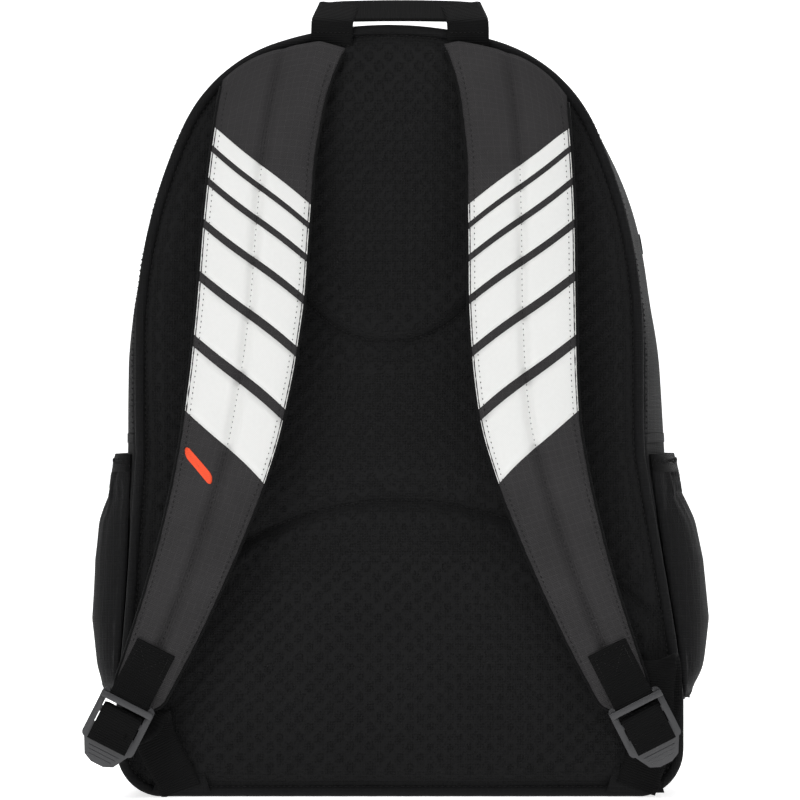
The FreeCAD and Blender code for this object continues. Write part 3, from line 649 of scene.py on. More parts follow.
def make_back_panel():
    """Quilted air mesh over the foam: one dimpled skin with the upper tongue and the lower dome in it."""
    half = half_outline(PANEL, 0.5 * MM, 900)
    half = half[(half[:, 0] > 5 * MM) & (np.arange(len(half)) > half[:, 1].argmin())]
    half = half[half[:, 1] > half[0, 1] - 1e-9]
    half = resampled(half, 285)
    share = np.linspace(-1, 1, 171)
    width, z = half[:, 0][:, None], np.repeat(half[:, 1][:, None], len(share), axis=1)
    x = width * share
    edge = np.minimum((width - np.abs(x)) * 0.8 + np.zeros_like(x), z - PANEL["bottom"] * MM)
    edge = np.minimum(edge, PANEL["top"] * MM - z + (1 - np.abs(share)) * 3 * MM)
    y = FACE_Y - pad_height(x, z, edge) - 0.5 * MM * creased(x, z * 0, z, 70 * MM, 3)
    grid = leaned(np.stack((x, y, z), axis=2))
    rows, columns = grid.shape[:2]
    loop = [c for c in range(columns)] + [r * columns + columns - 1 for r in range(1, rows)]
    loop += [(rows - 1) * columns + c for c in range(columns - 2, -1, -1)] + [r * columns for r in range(rows - 2, 0, -1)]
    points = grid.reshape(-1, 3)
    rim = points[loop].copy()
    rim[:, 1] = FACE_Y + 3 * MM
    start = len(points)
    faces = quads(rows, columns)
    count = len(loop)
    faces += [(loop[k], start + k, start + (k + 1) % count, loop[(k + 1) % count]) for k in range(count)]
    faces.append(tuple(start + k for k in range(count)))
    piece = new_piece("quilted_back_mesh", np.vstack((points, rim)), faces, "root", "air_mesh",
                      ("back_mesh_face", "upper_back_pad", "lower_back_pad"))

    seams = []
    up = (0, -1, 0)
    arc = [(TONGUE_R * math.sin(a), TONGUE_Z - TONGUE_R * math.cos(a)) for a in np.linspace(-1.5, 1.5, 90)]
    rise = DOME_TOP_Z - DOME_SIDE_Z
    dome_r = (DOME_HALF ** 2 + rise ** 2) / (2 * rise)
    dome = [(4 * MM + dome_r * math.sin(a), DOME_TOP_Z - dome_r + dome_r * math.cos(a)) for a in np.linspace(-0.84, 0.84, 120)]
    for line in (arc, dome):
        path = leaned([(x, FACE_Y + 1.0 * MM, z) for x, z in line])
        seams += stitch_line(path, [up] * len(path), 3.0 * MM, 2.2 * MM, 0.3 * MM, 0.6 * MM)
    merged("quilting_stitches", seams, "root", "stitching")


def make_edge_roll():
    """Fabric rolled over the joint between the back panel and the gusset, with its row of stitches."""
    loop = closed_outline(PANEL, 3.0 * MM, 560)
    y = ROLL_BACK_Y + 2.6 * MM
    path = leaned([(x, y, max(z, 3.4 * MM)) for x, z in loop])
    pucker = 0.25 * MM * np.sin(np.arange(len(path)) * 0.9) + 0.3 * MM * creased(path[:, 0], path[:, 1], path[:, 2], 30 * MM, 5)
    path[:, 1] -= pucker
    piece = swept("panel_edge_roll_fabric", path, round_section(3.3 * MM, 12), [(0, -1, 0)] * len(path), "root",
                  "shell_fabric", ("panel_edge_roll",), closed=True)
    seam = closed_outline(PANEL, -0.2 * MM, 560)
    path = leaned([(x, ROLL_BACK_Y - 0.2 * MM, max(z, 5 * MM)) for x, z in seam])
    merged("panel_edge_stitches", stitch_line(path, [(0, -1, 0)] * len(path), 3.4 * MM), "root", "stitching")


# ---- Shell ---------------------------------------------------------------------------------------
SIDE_LOW, SIDE_HIGH = (corner.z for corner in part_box("right_side_panel"))
BODY_MIDDLE = np.array((0, -0.03, 0.22))


def bulge(z):
    """How far the soft sides stand out between the back panel and the zip."""
    return 1.2 * MM + 6.6 * MM * smoothstep(0.13, 0.21, z) * (1 - smoothstep(0.255, 0.335, z))


def shell_grid(low, high, front_y, columns, rows, side):
    """Grid over the shell between two heights on one side, from the rolled edge to front_y."""
    rear = stretch_of(half_outline(PANEL, ROLL), low, high, columns)
    front = stretch_of(half_outline(MOUTH), low, high, columns)
    rows_y = np.concatenate((np.linspace(GUSSET_Y, MOUTH_Y, rows), np.linspace(MOUTH_Y, front_y, 7)[1:]))
    if front_y <= MOUTH_Y:
        rows_y = np.linspace(GUSSET_Y, front_y, rows)
    grid = []
    for y in rows_y:
        v = min(1.0, (y - GUSSET_Y) / (MOUTH_Y - GUSSET_Y))
        xz = rear + (front - rear) * v
        swell = math.sin(math.pi * min(1.0, v)) ** 0.7
        x, z = xz[:, 0], xz[:, 1]
        puckers = 0.45 * MM * np.sin(z / (4.4 * MM) + x / (5.1 * MM)) * (math.exp(-v * 14) + 0.6 * math.exp(-(1 - v) * 14))
        out = bulge(z) * swell + puckers + 0.9 * MM * creased(x * side, np.full_like(x, y), z, 42 * MM, 11) * swell
        away = np.clip(x / (30 * MM), 0, 1)
        up = np.where(z > 0.2, 1.0, 0.0) * smoothstep(0.36, 0.45, z)
        grid.append(np.column_stack((side * (x + out * away), np.full_like(x, y),
                                     np.maximum(z + out * 0.6 * up, 2.2 * MM))))
    return leaned(np.array(grid))


def joined_sides(low, high, front_y, columns, rows):
    """Both sides as one grid that runs over the top or under the bottom."""
    right = shell_grid(low, high, front_y, columns, rows, 1)
    left = shell_grid(low, high, front_y, columns, rows, -1)
    if low is None:
        return np.concatenate((left[:, ::-1], right[:, 1:]), axis=1)
    return np.concatenate((right, left[:, -2::-1]), axis=1)


def inwards(grid, middle=BODY_MIDDLE):
    """Which sign of the grid's normal points away from the bag's middle."""
    return 1 if (grid_normals(grid) * (grid - middle)).sum() > 0 else -1


def shell_panel(name, grid, node, thick=2.4 * MM, slot="shell_fabric", body="root"):
    piece = cloth_panel(name, grid, thick, body, slot, (node,), inwards(grid))
    return piece


def make_shell():
    """Gusset over the top, side panels, bottom and the strip in front of the zip's ends."""
    shell_panel("top_gusset_fabric", joined_sides(SIDE_HIGH, None, MOUTH_Y, 90, 26), "rear_gusset")
    shell_panel("bottom_fabric", joined_sides(None, SIDE_LOW, DIVIDER_Y, 60, 22), "bottom_panel")
    for name, side in (("left", -1), ("right", 1)):
        shell_panel(f"{name}_side_fabric", shell_grid(SIDE_LOW, SIDE_HIGH, DIVIDER_Y, 60, 30, side), f"{name}_side_panel")
    strips = []
    top = FLAP_Z - 0.8 * MM
    outline = stretch_of(half_outline(MOUTH), SIDE_HIGH, top, 40)
    for side in (-1, 1):
        grid = np.array([[(side * x, y, z) for x, z in outline] for y in np.linspace(MOUTH_Y, DIVIDER_Y, 8)])
        strips.append(grid)
    for name, grid in zip(("left", "right"), strips):
        piece = cloth_panel(f"{name}_front_gusset_fabric", grid, 2.4 * MM, "root", "shell_fabric", ("front_gusset",),
                            inwards(grid))
    for name, side in (("left", -1), ("right", 1)):
        for k, z in enumerate((SIDE_LOW, SIDE_HIGH)):
            grid = shell_grid(z - 3 * MM, z + 3 * MM, DIVIDER_Y, 5, 30, side)
            normals = grid_normals(grid) * inwards(grid)
            cloth_panel(f"{name}_seam_tape_{k + 1}", grid + normals * 0.4 * MM, 0.8 * MM, "root", "shell_fabric",
                        side=inwards(grid))
    seams = []
    for y in (GUSSET_Y + 5 * MM, MOUTH_Y - 4 * MM):
        grid = joined_sides(SIDE_HIGH, None, MOUTH_Y, 90, 26)
        row = int(round((y - GUSSET_Y) / (MOUTH_Y - GUSSET_Y) * 25))
        normals = grid_normals(grid)[row] * inwards(grid)
        seams += stitch_line(grid[row], normals, 3.4 * MM)
    merged("gusset_stitches", seams, "root", "stitching")


# ---- Shoulder straps -----------------------------------------------------------------------------
STRAP_TOP, STRAP_END = 457.0, 54.0      # heights of the ends of the middle line, millimetres
PAD_OUT, PAD_IN, PAD_FLANGE = 4.9 * MM, 3.0 * MM, 1.1 * MM
SIDES = (("left", -1), ("right", 1))
# The print is one slanted block of bands whose heights grow downwards. Heights in millimetres.
PRINT_OUTER, PRINT_INNER = (401.0, 232.0), (354.0, 188.0)
BAND_HEIGHTS = (11.0, 15.5, 20.5, 26.0, 32.0, 38.5)
BAND_GAPS = (4.0, 4.6, 5.3, 6.1, 7.0)


class Strap:
    """Middle line, width and outer surface of one shoulder strap."""

    def __init__(self, side):
        self.side = side
        z = np.arange(STRAP_TOP, STRAP_END - 0.5, -1.0)
        table = np.array(STRAP_LINE[::-1], float)
        depth = np.array(STRAP_DEPTH[::-1], float)
        lean = np.array(STRAP_LEAN)
        x = side * np.interp(z, table[:, 0], table[:, 1]) - np.interp(z, lean[:, 0], lean[:, 1])
        y = np.interp(z, depth[:, 0], depth[:, 1]) + 5.0 * smoothstep(415, 458, z)
        half = np.interp(z, table[:, 0], table[:, 2])
        line = np.column_stack((x, y, z, half)) * MM
        for _ in range(160):
            line[1:-1] = (line[:-2] + 2 * line[1:-1] + line[2:]) / 4
        run = np.concatenate(([0], np.cumsum(np.linalg.norm(np.diff(line[:, :3], axis=0), axis=1))))
        self.length = float(run[-1])
        self.run, self.line = run, line
        along = np.gradient(line[:, :3], axis=0)
        self.along = along / np.linalg.norm(along, axis=1)[:, None]
        out = np.array((0.0, -1.0, 0.0)) - self.along * (self.along @ (0.0, -1.0, 0.0))[:, None]
        self.out = out / np.linalg.norm(out, axis=1)[:, None]
        across = np.cross(self.out, self.along)
        self.across = across * np.sign(across[:, :1] * side)
        self.half = line[:, 3] * np.abs(self.along[:, 2])
        arch = half_outline(PANEL, -0.6 * MM)
        arch = arch[arch[:, 1] > 0.3]
        order = np.argsort(arch[:, 0])
        self.arch = arch[order]

    def at(self, values, s):
        s = np.clip(s, 0, self.length)
        if values.ndim == 1:
            return np.interp(s, self.run, values)
        return np.stack([np.interp(s, self.run, values[:, k]) for k in range(values.shape[1])], axis=-1)

    def width(self, s):
        tip = 15 * MM
        t = np.clip((s - (self.length - tip)) / tip, 0, 1)
        return self.at(self.half, s) * np.sqrt(np.maximum(1 - 0.985 * t ** 2.4, 0.01))

    def flat(self, a, s):
        """How far a point of the middle surface stands above the arch of the back panel, by which the top is trimmed.
        """
        point = self.at(self.line[:, :3], s) + self.at(self.across, s) * (a * self.width(s))[..., None]
        x = np.abs(point[..., 0] + LEAN)
        drop = np.maximum(0, point[..., 2] - np.interp(x, self.arch[:, 0], self.arch[:, 1]))
        return drop

    def trimmed(self, a, s):
        drop = self.flat(a, np.zeros_like(s))
        return s + drop * (1 - smoothstep(0, 0.095, s))

    def point(self, a, s, lift=0.0, inner=False):
        """Point on the strap's outer or inner face. a runs from -1 to 1 towards the outer edge, s is along it."""
        a, s = np.broadcast_arrays(np.asarray(a, float), np.asarray(s, float))
        s = self.trimmed(a, s)
        ends = (0.45 + 0.55 * smoothstep(0, 0.03, s)) * (0.55 + 0.45 * smoothstep(0, 0.03, self.length - s))
        side = np.abs(a)
        if inner:
            height = -(PAD_FLANGE + (PAD_IN * ends) * np.sqrt(np.maximum(1 - side ** 6, 0)))
        else:
            plump = np.maximum(1 - (side / 0.955) ** 3.4, 0) ** 0.62
            channel = np.exp(-np.abs(a * self.width(s) / (3.0 * MM)) ** 1.6)
            wave = 0.35 * MM * creased(a * 0.03, a * 0, s * 1.0, 26 * MM, 7 + self.side) * plump
            puckers = 0.22 * MM * np.sin(s / (1.75 * MM)) * np.exp(-((side - 0.9) / 0.1) ** 2)
            height = PAD_FLANGE + PAD_OUT * ends * plump * (1 - 0.78 * channel) + wave + puckers
        centre = self.at(self.line[:, :3], s) + self.at(self.across, s) * (a * self.width(s))[..., None]
        return centre + self.at(self.out, s) * (height + lift)[..., None]

    def at_height(self, a, z):
        """Distance along the strap where its outer face reaches a height."""
        s = np.interp(-z, -self.line[:, 2], self.run) + 0 * a
        for _ in range(5):
            s = s + (self.point(a, s)[..., 2] - z)
        return s


def strap_shape(side):
    if side not in STRAPS:
        STRAPS[side] = Strap(side)
    return STRAPS[side]


STRAPS = {}


def make_straps():
    """Padded straps with a sewn middle channel, their mesh lining and their bound edges."""
    outer, inner = np.linspace(-1, 1, 41), np.linspace(1, -1, 21)[1:-1]
    for name, side in SIDES:
        strap = strap_shape(side)
        s = np.concatenate((np.linspace(0, strap.length - 0.016, 150), strap.length - 0.015 * (1 - np.linspace(0, 1, 16)) ** 1.3))
        rows = []
        uv = []
        for at in s:
            top = strap.point(outer, np.full_like(outer, at))
            under = strap.point(inner, np.full_like(inner, at), inner=True)
            rows.append(np.vstack((top, under)))
            around = np.concatenate((outer, inner))
            uv.append(np.column_stack((around * strap.width(np.full_like(around, at)), np.full_like(around, at))))
        count, size = len(s), len(rows[0])
        faces = quads(count, size, wrap=True) + [tuple(range(size))[::-1], tuple((count - 1) * size + i for i in range(size))]
        body = f"{name}_strap"
        pad = new_piece(f"{name}_strap_pad", np.vstack(rows), faces, body, "strap_twill",
                        (f"{name}_strap_cover", f"{name}_strap_foam"), np.vstack(uv))

        a, at = np.meshgrid(np.linspace(-0.94, 0.94, 25), np.linspace(0.012, strap.length - 0.02, 110))
        grid = strap.point(a, at, lift=-0.7 * MM, inner=True)
        lining = cloth_panel(f"{name}_strap_mesh_lining", grid, 0.9 * MM, body, "air_mesh", (f"{name}_strap_lining",),
                             inwards(grid, np.array((grid[..., 0].mean(), -0.25, 0.25))) * -1)

        run = np.linspace(0.004, strap.length - 0.003, 220)
        edge_a = np.concatenate((np.ones_like(run), -np.ones_like(run)))
        edge_s = np.concatenate((run, run[::-1]))
        path = (strap.point(edge_a, edge_s) + strap.point(edge_a, edge_s, inner=True)) / 2
        swept(f"{name}_strap_binding", path, round_section(1.35 * MM, 8), strap.at(strap.out, edge_s), body, "binding")

        parts = []
        for a_line in (-0.88, 0.0, 0.88):
            run = np.linspace(0.012, strap.length - 0.035, 260)
            line = strap.point(np.full_like(run, a_line), run)
            parts += stitch_line(line, strap.at(strap.out, run), 3.3 * MM, 2.4 * MM, 0.3 * MM)
        merged(f"{name}_strap_stitches", parts, body, "stitching")


def make_strap_print():
    """White slanted bands that grow down each strap, and one small accent bar on the left strap."""
    total = sum(BAND_HEIGHTS) + sum(BAND_GAPS)
    for name, side in SIDES:
        strap = strap_shape(side)
        start = 0.0
        for k, height in enumerate(BAND_HEIGHTS):
            f = np.linspace(start, start + height, 9) / total
            a, f = np.meshgrid(np.linspace(-0.99, 0.99, 61), f)
            across = (1 - a) / 2
            across = across + 0.012 * np.sin(2 * math.pi * across)
            z_out = PRINT_OUTER[0] + (PRINT_OUTER[1] - PRINT_OUTER[0]) * f
            z_in = PRINT_INNER[0] + (PRINT_INNER[1] - PRINT_INNER[0]) * f
            s = strap.at_height(a, (z_out + (z_in - z_out) * across) * MM)
            grid = strap.point(a, s, lift=0.22 * MM)
            uv = np.stack((a * strap.width(s), s), axis=-1)
            piece = cloth_panel(f"{name}_strap_band_{k + 1}", grid, 0.3 * MM, f"{name}_strap", "white_print",
                                side=inwards(grid, np.array((grid[..., 0].mean(), 0.0, 0.3))), uv=uv)
            start += height + (BAND_GAPS[k] if k < len(BAND_GAPS) else 0)

    strap = strap_shape(-1)
    r, turn = np.meshgrid(np.linspace(0.02, 1, 7), np.linspace(0, 2 * math.pi, 41), indexing="ij")
    long, tall = 10.0 * MM, 3.3 * MM
    u = r * (np.cos(turn) * tall + np.clip(np.cos(turn) * 9, -1, 1) * (long - tall))
    v = r * np.sin(turn) * tall
    a0, z0 = 0.50, 0.199
    s0 = float(strap.at_height(np.array([a0]), np.array([z0]))[0])
    a = a0 + u / strap.width(np.array([s0]))[0]
    s = s0 + v - 0.72 * u
    grid = strap.point(a, s, lift=0.26 * MM)
    cloth_panel("accent_bar", grid, 0.34 * MM, "left_strap", "accent_print",
                side=inwards(grid, np.array((-0.1, 0.0, 0.2))), uv=np.stack((u, v), axis=-1))


# ---- Webbing and locks ---------------------------------------------------------------------------
def on_lock(points, side):
    """Carries points from a lock's own frame, in millimetres with its bar along X, onto the strap's end."""
    points = np.asarray(points, float) * MM
    turn = -side * LOCK_TURN
    x = points[..., 0] * math.cos(turn) + points[..., 2] * math.sin(turn)
    z = -points[..., 0] * math.sin(turn) + points[..., 2] * math.cos(turn)
    bar = np.array((side * LOCK_BAR[0] - STRAP_LEAN[0][1], LOCK_BAR[1], LOCK_BAR[2])) * MM
    return np.stack((x, points[..., 1], z), axis=-1) + bar


def smooth_path(points, count=60, passes=None):
    """An even path through given points, rounded at its corners."""
    path = resampled(points, count)
    for _ in range(passes if passes is not None else count // 8):
        path[1:-1] = (path[:-2] + 2 * path[1:-1] + path[2:]) / 4
    return path


def path_ups(path, across):
    """Directions square to a path and to the way across its webbing."""
    along = np.gradient(path, axis=0)
    ups = np.cross(np.broadcast_to(across, path.shape), along)
    return ups / np.linalg.norm(ups, axis=1)[:, None]


STRAP_LOOP = ((3.3, 36), (3.0, 26), (2.4, 14), (0.7, 6.6), (-2.3, 2.5), (-3.3, 0), (-2.4, -2.4), (0, -3.4), (2.4, -2.4),
              (3.4, 0.5), (4.6, 6), (6.2, 13))
TAIL = ((4.2, -25), (3.6, -17), (3.0, -10.5), (1.2, -6.6), (-1.4, -5.6), (-3.3, -7.8), (-3.7, -12), (-3.6, -20),
        (-4.0, -25), (-5.6, -29.5))
# Webbing from the base seam, up in a slack bight and down behind the lock.
SLACK = {
    "left": ((-131, -95.4, 3.5), (-133.5, -98.0, 10), (-140, -100.5, 22), (-147, -102.5, 36), (-149, -104.5, 47),
             (-149.5, -107.5, 54), (-150, -111.5, 55), (-153, -115.5, 47)),
    "right": ((141, -95.6, 5), (145, -98.0, 16), (152, -100.5, 36), (156.5, -102.5, 60), (156, -104.5, 77),
              (154.5, -107.5, 84), (152.5, -111.0, 81), (151, -114.5, 68), (150, -117.5, 54)),
}


def box_stitches(side, low, high, half, y):
    """A sewn box with a cross in it, in a lock's frame."""
    corners = [(-half, low), (half, low), (half, high), (-half, high), (-half, low), (half, high), (half, low), (-half, high)]
    path = resampled([(x, y, z) for x, z in corners], 260)
    return stitch_line(on_lock(path, side), [(0, -1, 0)] * len(path), 2.6 * MM, 1.9 * MM, 0.28 * MM, 0.05 * MM)


def make_strap_webbing():
    """Webbing sewn over each strap's end and round the lock's bar, and the free tail through the lock."""
    section = strip_section(WEBBING, WEBBING_THICK)
    for name, side in SIDES:
        turn = -side * LOCK_TURN
        across = np.array((math.cos(turn), 0, -math.sin(turn)))
        path = smooth_path(on_lock([(0, y, z) for y, z in STRAP_LOOP], side), 80)
        swept(f"{name}_strap_end_webbing", path, section, path_ups(path, across), f"{name}_strap", "webbing",
              (f"{name}_strap_webbing",))
        parts = box_stitches(side, 11, 33, 9.6, 2.2)
        merged(f"{name}_strap_end_stitches", parts, f"{name}_strap", "stitching")
        path = smooth_path(on_lock([(0, y, z) for y, z in TAIL], side), 80)
        swept(f"{name}_adjusting_tail", path, section, path_ups(path, across), f"{name}_lock", "webbing",
              (f"{name}_webbing_tail",))


def make_lower_webbing():
    """Adjusting webbing from the base seam to each lock, slack, and the tab that holds its foot."""
    section = strip_section(WEBBING, WEBBING_THICK)
    for name, side in SIDES:
        turn = -side * LOCK_TURN
        across = np.array((math.cos(turn), 0, -math.sin(turn)))
        end = on_lock([(0, 4.2, -23), (0, 3.6, -17)], side)
        path = smooth_path(np.vstack((np.array(SLACK[name]) * MM, end)), 110)
        level = np.array((1.0, 0, -0.12 * side))
        blend = smoothstep(0, 1, np.linspace(0, 1, len(path)))[:, None]
        sides = level * (1 - blend) + across * blend
        along = np.gradient(path, axis=0)
        ups = np.cross(sides, along)
        ups /= np.linalg.norm(ups, axis=1)[:, None]
        piece = swept(f"{name}_slack_webbing", path, section, ups, None, "webbing", (f"{name}_lower_webbing",))
        foot = path[0]
        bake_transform(piece)
        x, z = np.meshgrid(np.linspace(-1, 1, 17), np.linspace(0, 1, 9))
        reach = 17.5 * MM - 4.5 * MM * z
        grid = np.stack((foot[0] + x * reach, ROLL_BACK_Y - 2.6 * MM - 1.2 * MM * np.sin(z * 2.6) * (1 - 0.4 * x ** 2),
                         2.6 * MM + z * 15 * MM), axis=2)
        tab = cloth_panel(f"{name}_base_tab", grid, 1.4 * MM, "root", "shell_fabric", side=inwards(grid, np.array((foot[0], 0, 0.01))))
        line = [(foot[0] + k * 14 * MM, ROLL_BACK_Y - 3.9 * MM, 13.5 * MM) for k in np.linspace(-1, 1, 12)]
        merged(f"{name}_base_tab_stitches", stitch_line(line, [(0, -1, 0)] * 12, 2.8 * MM, 2.0 * MM, 0.28 * MM), "root", "stitching")


def refined(node, name, bevel, slot, body, replaces=True):
    """A copy of a designed part with its facets merged and its edges rounded."""
    mesh = frame["nodes"][node].data.copy()
    piece = bpy.data.objects.new(name, mesh)
    bpy.context.scene.collection.objects.link(piece)
    only(piece)
    bpy.ops.object.mode_set(mode="EDIT")
    bpy.ops.mesh.select_all(action="SELECT")
    bpy.ops.mesh.remove_doubles(threshold=0.01 * MM)
    bpy.ops.mesh.dissolve_limited(angle_limit=math.radians(3))
    bpy.ops.object.mode_set(mode="OBJECT")
    rounding = piece.modifiers.new("rounding", "BEVEL")
    rounding.width = bevel
    rounding.segments = 3
    rounding.limit_method = "ANGLE"
    rounding.angle_limit = math.radians(35)
    rounding.use_clamp_overlap = True
    bpy.ops.object.modifier_apply(modifier="rounding")
    bpy.ops.object.shade_smooth_by_angle(angle=math.radians(40))
    return finish_piece(piece, body, slot, (node,) if replaces else ())


def make_ladder_locks():
    """Locks with rounded edges, and grip ribs on their thumb tabs and middle bars."""
    for name, side in SIDES:
        lock = refined(f"{name}_ladder_lock", f"{name}_lock_frame", 0.55 * MM, "moulded_plastic", f"{name}_lock")
        bars = [((0, y, z), half, radius, "X") for y, z, half, radius in (
            (-1.9, -33.0, 10.0, 0.55), (-1.9, -35.4, 8.8, 0.55), (-1.9, -37.8, 7.4, 0.55), (-2.15, -10.0, 12.6, 0.5),
            (-2.15, -11.6, 12.6, 0.5))]
        rib_bars(f"{name}_lock_ribs", bars, lambda points, side=side: on_lock(points, side), f"{name}_lock",
                 "moulded_plastic")
        lock_guard(name, side)


def lock_guard(name, side):
    """A flat bar in front of the webbing's turn, carried by two short posts on the lock's frame."""
    blocks = []
    for middle, size in (((0, -5.7, -1.9), (34, 1.6, 3.8)), ((-15.7, -3.9, -1.9), (2.6, 4.2, 3.8)),
                         ((15.7, -3.9, -1.9), (2.6, 4.2, 3.8))):
        bpy.ops.object.select_all(action="DESELECT")
        bpy.ops.mesh.primitive_cube_add(size=1)
        block = bpy.context.active_object
        corners = np.array([v.co for v in block.data.vertices]) * size + middle
        for vertex, at in zip(block.data.vertices, on_lock(corners, side)):
            vertex.co = at
        blocks.append(block)
    only(blocks[0])
    for other in blocks[1:]:
        union = blocks[0].modifiers.new("union", "BOOLEAN")
        union.operation = "UNION"
        union.solver = "EXACT"
        union.object = other
        bpy.ops.object.modifier_apply(modifier="union")
        bpy.data.objects.remove(other)
    guard = blocks[0]
    guard.name = f"{name}_lock_guard"
    face_outwards(guard)
    rounding = guard.modifiers.new("rounding", "BEVEL")
    rounding.width = 0.6 * MM
    rounding.segments = 3
    rounding.limit_method = "ANGLE"
    bpy.ops.object.modifier_apply(modifier="rounding")
    bpy.ops.object.shade_smooth_by_angle(angle=math.radians(40))
    finish_piece(guard, f"{name}_lock", "moulded_plastic")


# ---- Haul loop -----------------------------------------------------------------------------------
def make_haul_loop():
    """Webbing loop: two legs that fold into a grip which leans forwards over the arch."""
    grip_near, grip_far = np.array((0, -95.0, 465.4)) * MM, np.array((0, -79.6, 478.0)) * MM
    share, r = np.meshgrid(np.linspace(-1, 1, 61), np.linspace(0, 1, 13))
    half = (53.2 - 7.4 * r) * MM
    flat = grip_near + (grip_far - grip_near) * r[..., None]
    ease = 0.9 * MM * np.cos(share * math.pi / 2) - 0.7 * MM * share ** 8
    grid = flat + np.stack((share * half, -0.4 * ease, ease), axis=2)
    uv = np.stack((r * WEBBING, share * half), axis=-1)
    grip = cloth_panel("haul_grip", grid, 1.7 * MM, None, "webbing", ("haul_loop", "haul_loop_ends"),
                       inwards(grid, np.array((0, -0.06, 0.40))), uv=uv)
    legs = []
    for side in (-1, 1):
        x = 40.8
        points = ((x, -94.4, 446), (x, -96.2, 453), (x, -96.7, 460), (x - 0.3, -96.4, 465.0), (x - 1.4, -92.6, 468.2),
                  (x - 3.2, -87.0, 472.4), (x - 4.6, -82.6, 475.8))
        path = smooth_path(np.array([(side * px, y, z) for px, y, z in points]) * MM, 50, 5)
        legs.append(swept("leg", path, strip_section(WEBBING, 1.7 * MM), path_ups(path, np.array((1.0, 0, 0))), None,
                          "webbing", make=False))
    legs = merged("haul_legs", legs, None, "webbing")
    for piece in (grip, legs):
        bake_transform(piece)
    parts = []
    for side in (-1, 1):
        for z in (450.5, 458.0):
            line = [(side * (40.8 + k * 11) * MM, -97.5 * MM, z * MM) for k in np.linspace(-1, 1, 10)]
            parts += stitch_line(line, [(0, -1, 0)] * 10, 2.6 * MM, 1.9 * MM, 0.28 * MM)
    merged("haul_leg_stitches", parts, "root", "stitching")


# ---- Side pockets --------------------------------------------------------------------------------
POCKET_REACH = ((205, 167.5), (190, 170), (166, 176.5), (142, 181), (106, 184), (82, 181))
POCKET_REAR, POCKET_FRONT = (GUSSET_Y + 5 * MM, MOUTH_Y + 2 * MM)


def wall_x(y, z):
    """How far out the side panel's cloth is at a depth and height."""
    share = np.clip((y - GUSSET_Y) / (MOUTH_Y - GUSSET_Y), 0, 1)
    rear, front = half_width(PANEL, ROLL, z), half_width(MOUTH, 0, z)
    return rear + (front - rear) * share + bulge(z) * np.sin(math.pi * share) ** 0.7


def settled(name, grid, held, pressure, cap, wrap=False, frames=20):
    """Lets a sheet settle as cloth: held points stay put, and no point moves further than the cap."""
    mesh = bpy.data.meshes.new(f"{name}_cloth")
    mesh.from_pydata([tuple(map(float, p)) for p in grid.reshape(-1, 3)], [], quads(*grid.shape[:2], wrap))
    sheet = bpy.data.objects.new(f"{name}_cloth", mesh)
    bpy.context.scene.collection.objects.link(sheet)
    only(sheet)
    sheet.vertex_groups.new(name="held").add([int(i) for i in np.flatnonzero(held.ravel())], 1.0, "REPLACE")
    cloth = sheet.modifiers.new("cloth", "CLOTH")
    cloth.settings.quality = 6
    cloth.settings.mass = 0.25
    cloth.settings.tension_stiffness = 20
    cloth.settings.compression_stiffness = 6
    cloth.settings.bending_stiffness = 0.6
    cloth.settings.shrink_min = -0.025
    cloth.settings.vertex_group_mass = "held"
    cloth.settings.use_pressure = True
    cloth.settings.uniform_pressure_force = pressure
    cloth.settings.effector_weights.gravity = 0.25
    cloth.collision_settings.use_collision = False
    for frame_number in range(1, frames + 1):
        bpy.context.scene.frame_set(frame_number)
    bpy.ops.object.modifier_apply(modifier="cloth")
    moved = np.array([v.co for v in sheet.data.vertices]).reshape(grid.shape) - grid
    bpy.data.objects.remove(sheet)
    bpy.context.scene.frame_set(1)
    size = np.linalg.norm(moved, axis=2, keepdims=True)
    return grid + moved * np.minimum(1, cap / np.maximum(size, 1e-9))


def rim_of(grid, rows=1, columns=1):
    """Marks the outer rows and columns of a grid."""
    held = np.zeros(grid.shape[:2], bool)
    if rows:
        held[:rows] = held[-rows:] = True
    if columns:
        held[:, :columns] = held[:, -columns:] = True
    return held


def pocket_grid(side, heights, out=0.0, gathers=1.0, columns=72):
    """Grid round a side pocket. Below its last height it turns under to the wall."""
    levels = np.array(POCKET_REACH[::-1], float) * MM
    rows = [(z, 1.0) for z in heights]
    if gathers:
        rows += [(heights[-1] - 26 * MM * math.sin(a), max(math.cos(a), 0.0) ** 1.6) for a in np.linspace(0.12, math.pi / 2, 14)]
    t = np.linspace(-1, 1, columns)
    grid = []
    for z, share in rows:
        y = POCKET_REAR + (POCKET_FRONT - POCKET_REAR) * (t + 1) / 2
        wall = wall_x(y, np.full_like(y, z)) + 1.2 * MM
        reach = np.interp(max(z, 0.082), levels[:, 0], levels[:, 1]) + (7 if side < 0 else 8) * MM * smoothstep(0.205, 0.16, z)
        round_share = np.maximum(1 - np.abs(t) ** 3.0, 0) ** 0.7
        depth = (reach - wall) * round_share * share
        fall = math.exp(-max(0.0, 0.197 - z) / (17 * MM))
        ripple = 1.7 * MM * fall * np.sin(t * 33 + 1.3 * np.sin(z / (9 * MM)) + side) * round_share
        slack = 1.5 * MM * creased(y, np.full_like(y, side * 0.1), np.full_like(y, z) * 0.8, 30 * MM, 17 + side)
        crease = -2.0 * MM * np.exp(-((t - 0.42 - 0.5 * (z - 0.13)) / 0.07) ** 2) * smoothstep(0.07, 0.1, z) * (1 - smoothstep(0.15, 0.19, z))
        x = wall + depth + (ripple + (slack + crease) * (1 - fall) * round_share * share) * gathers + out * round_share
        grid.append(np.column_stack((side * x, y, np.full_like(y, z))))
    return leaned(np.array(grid))


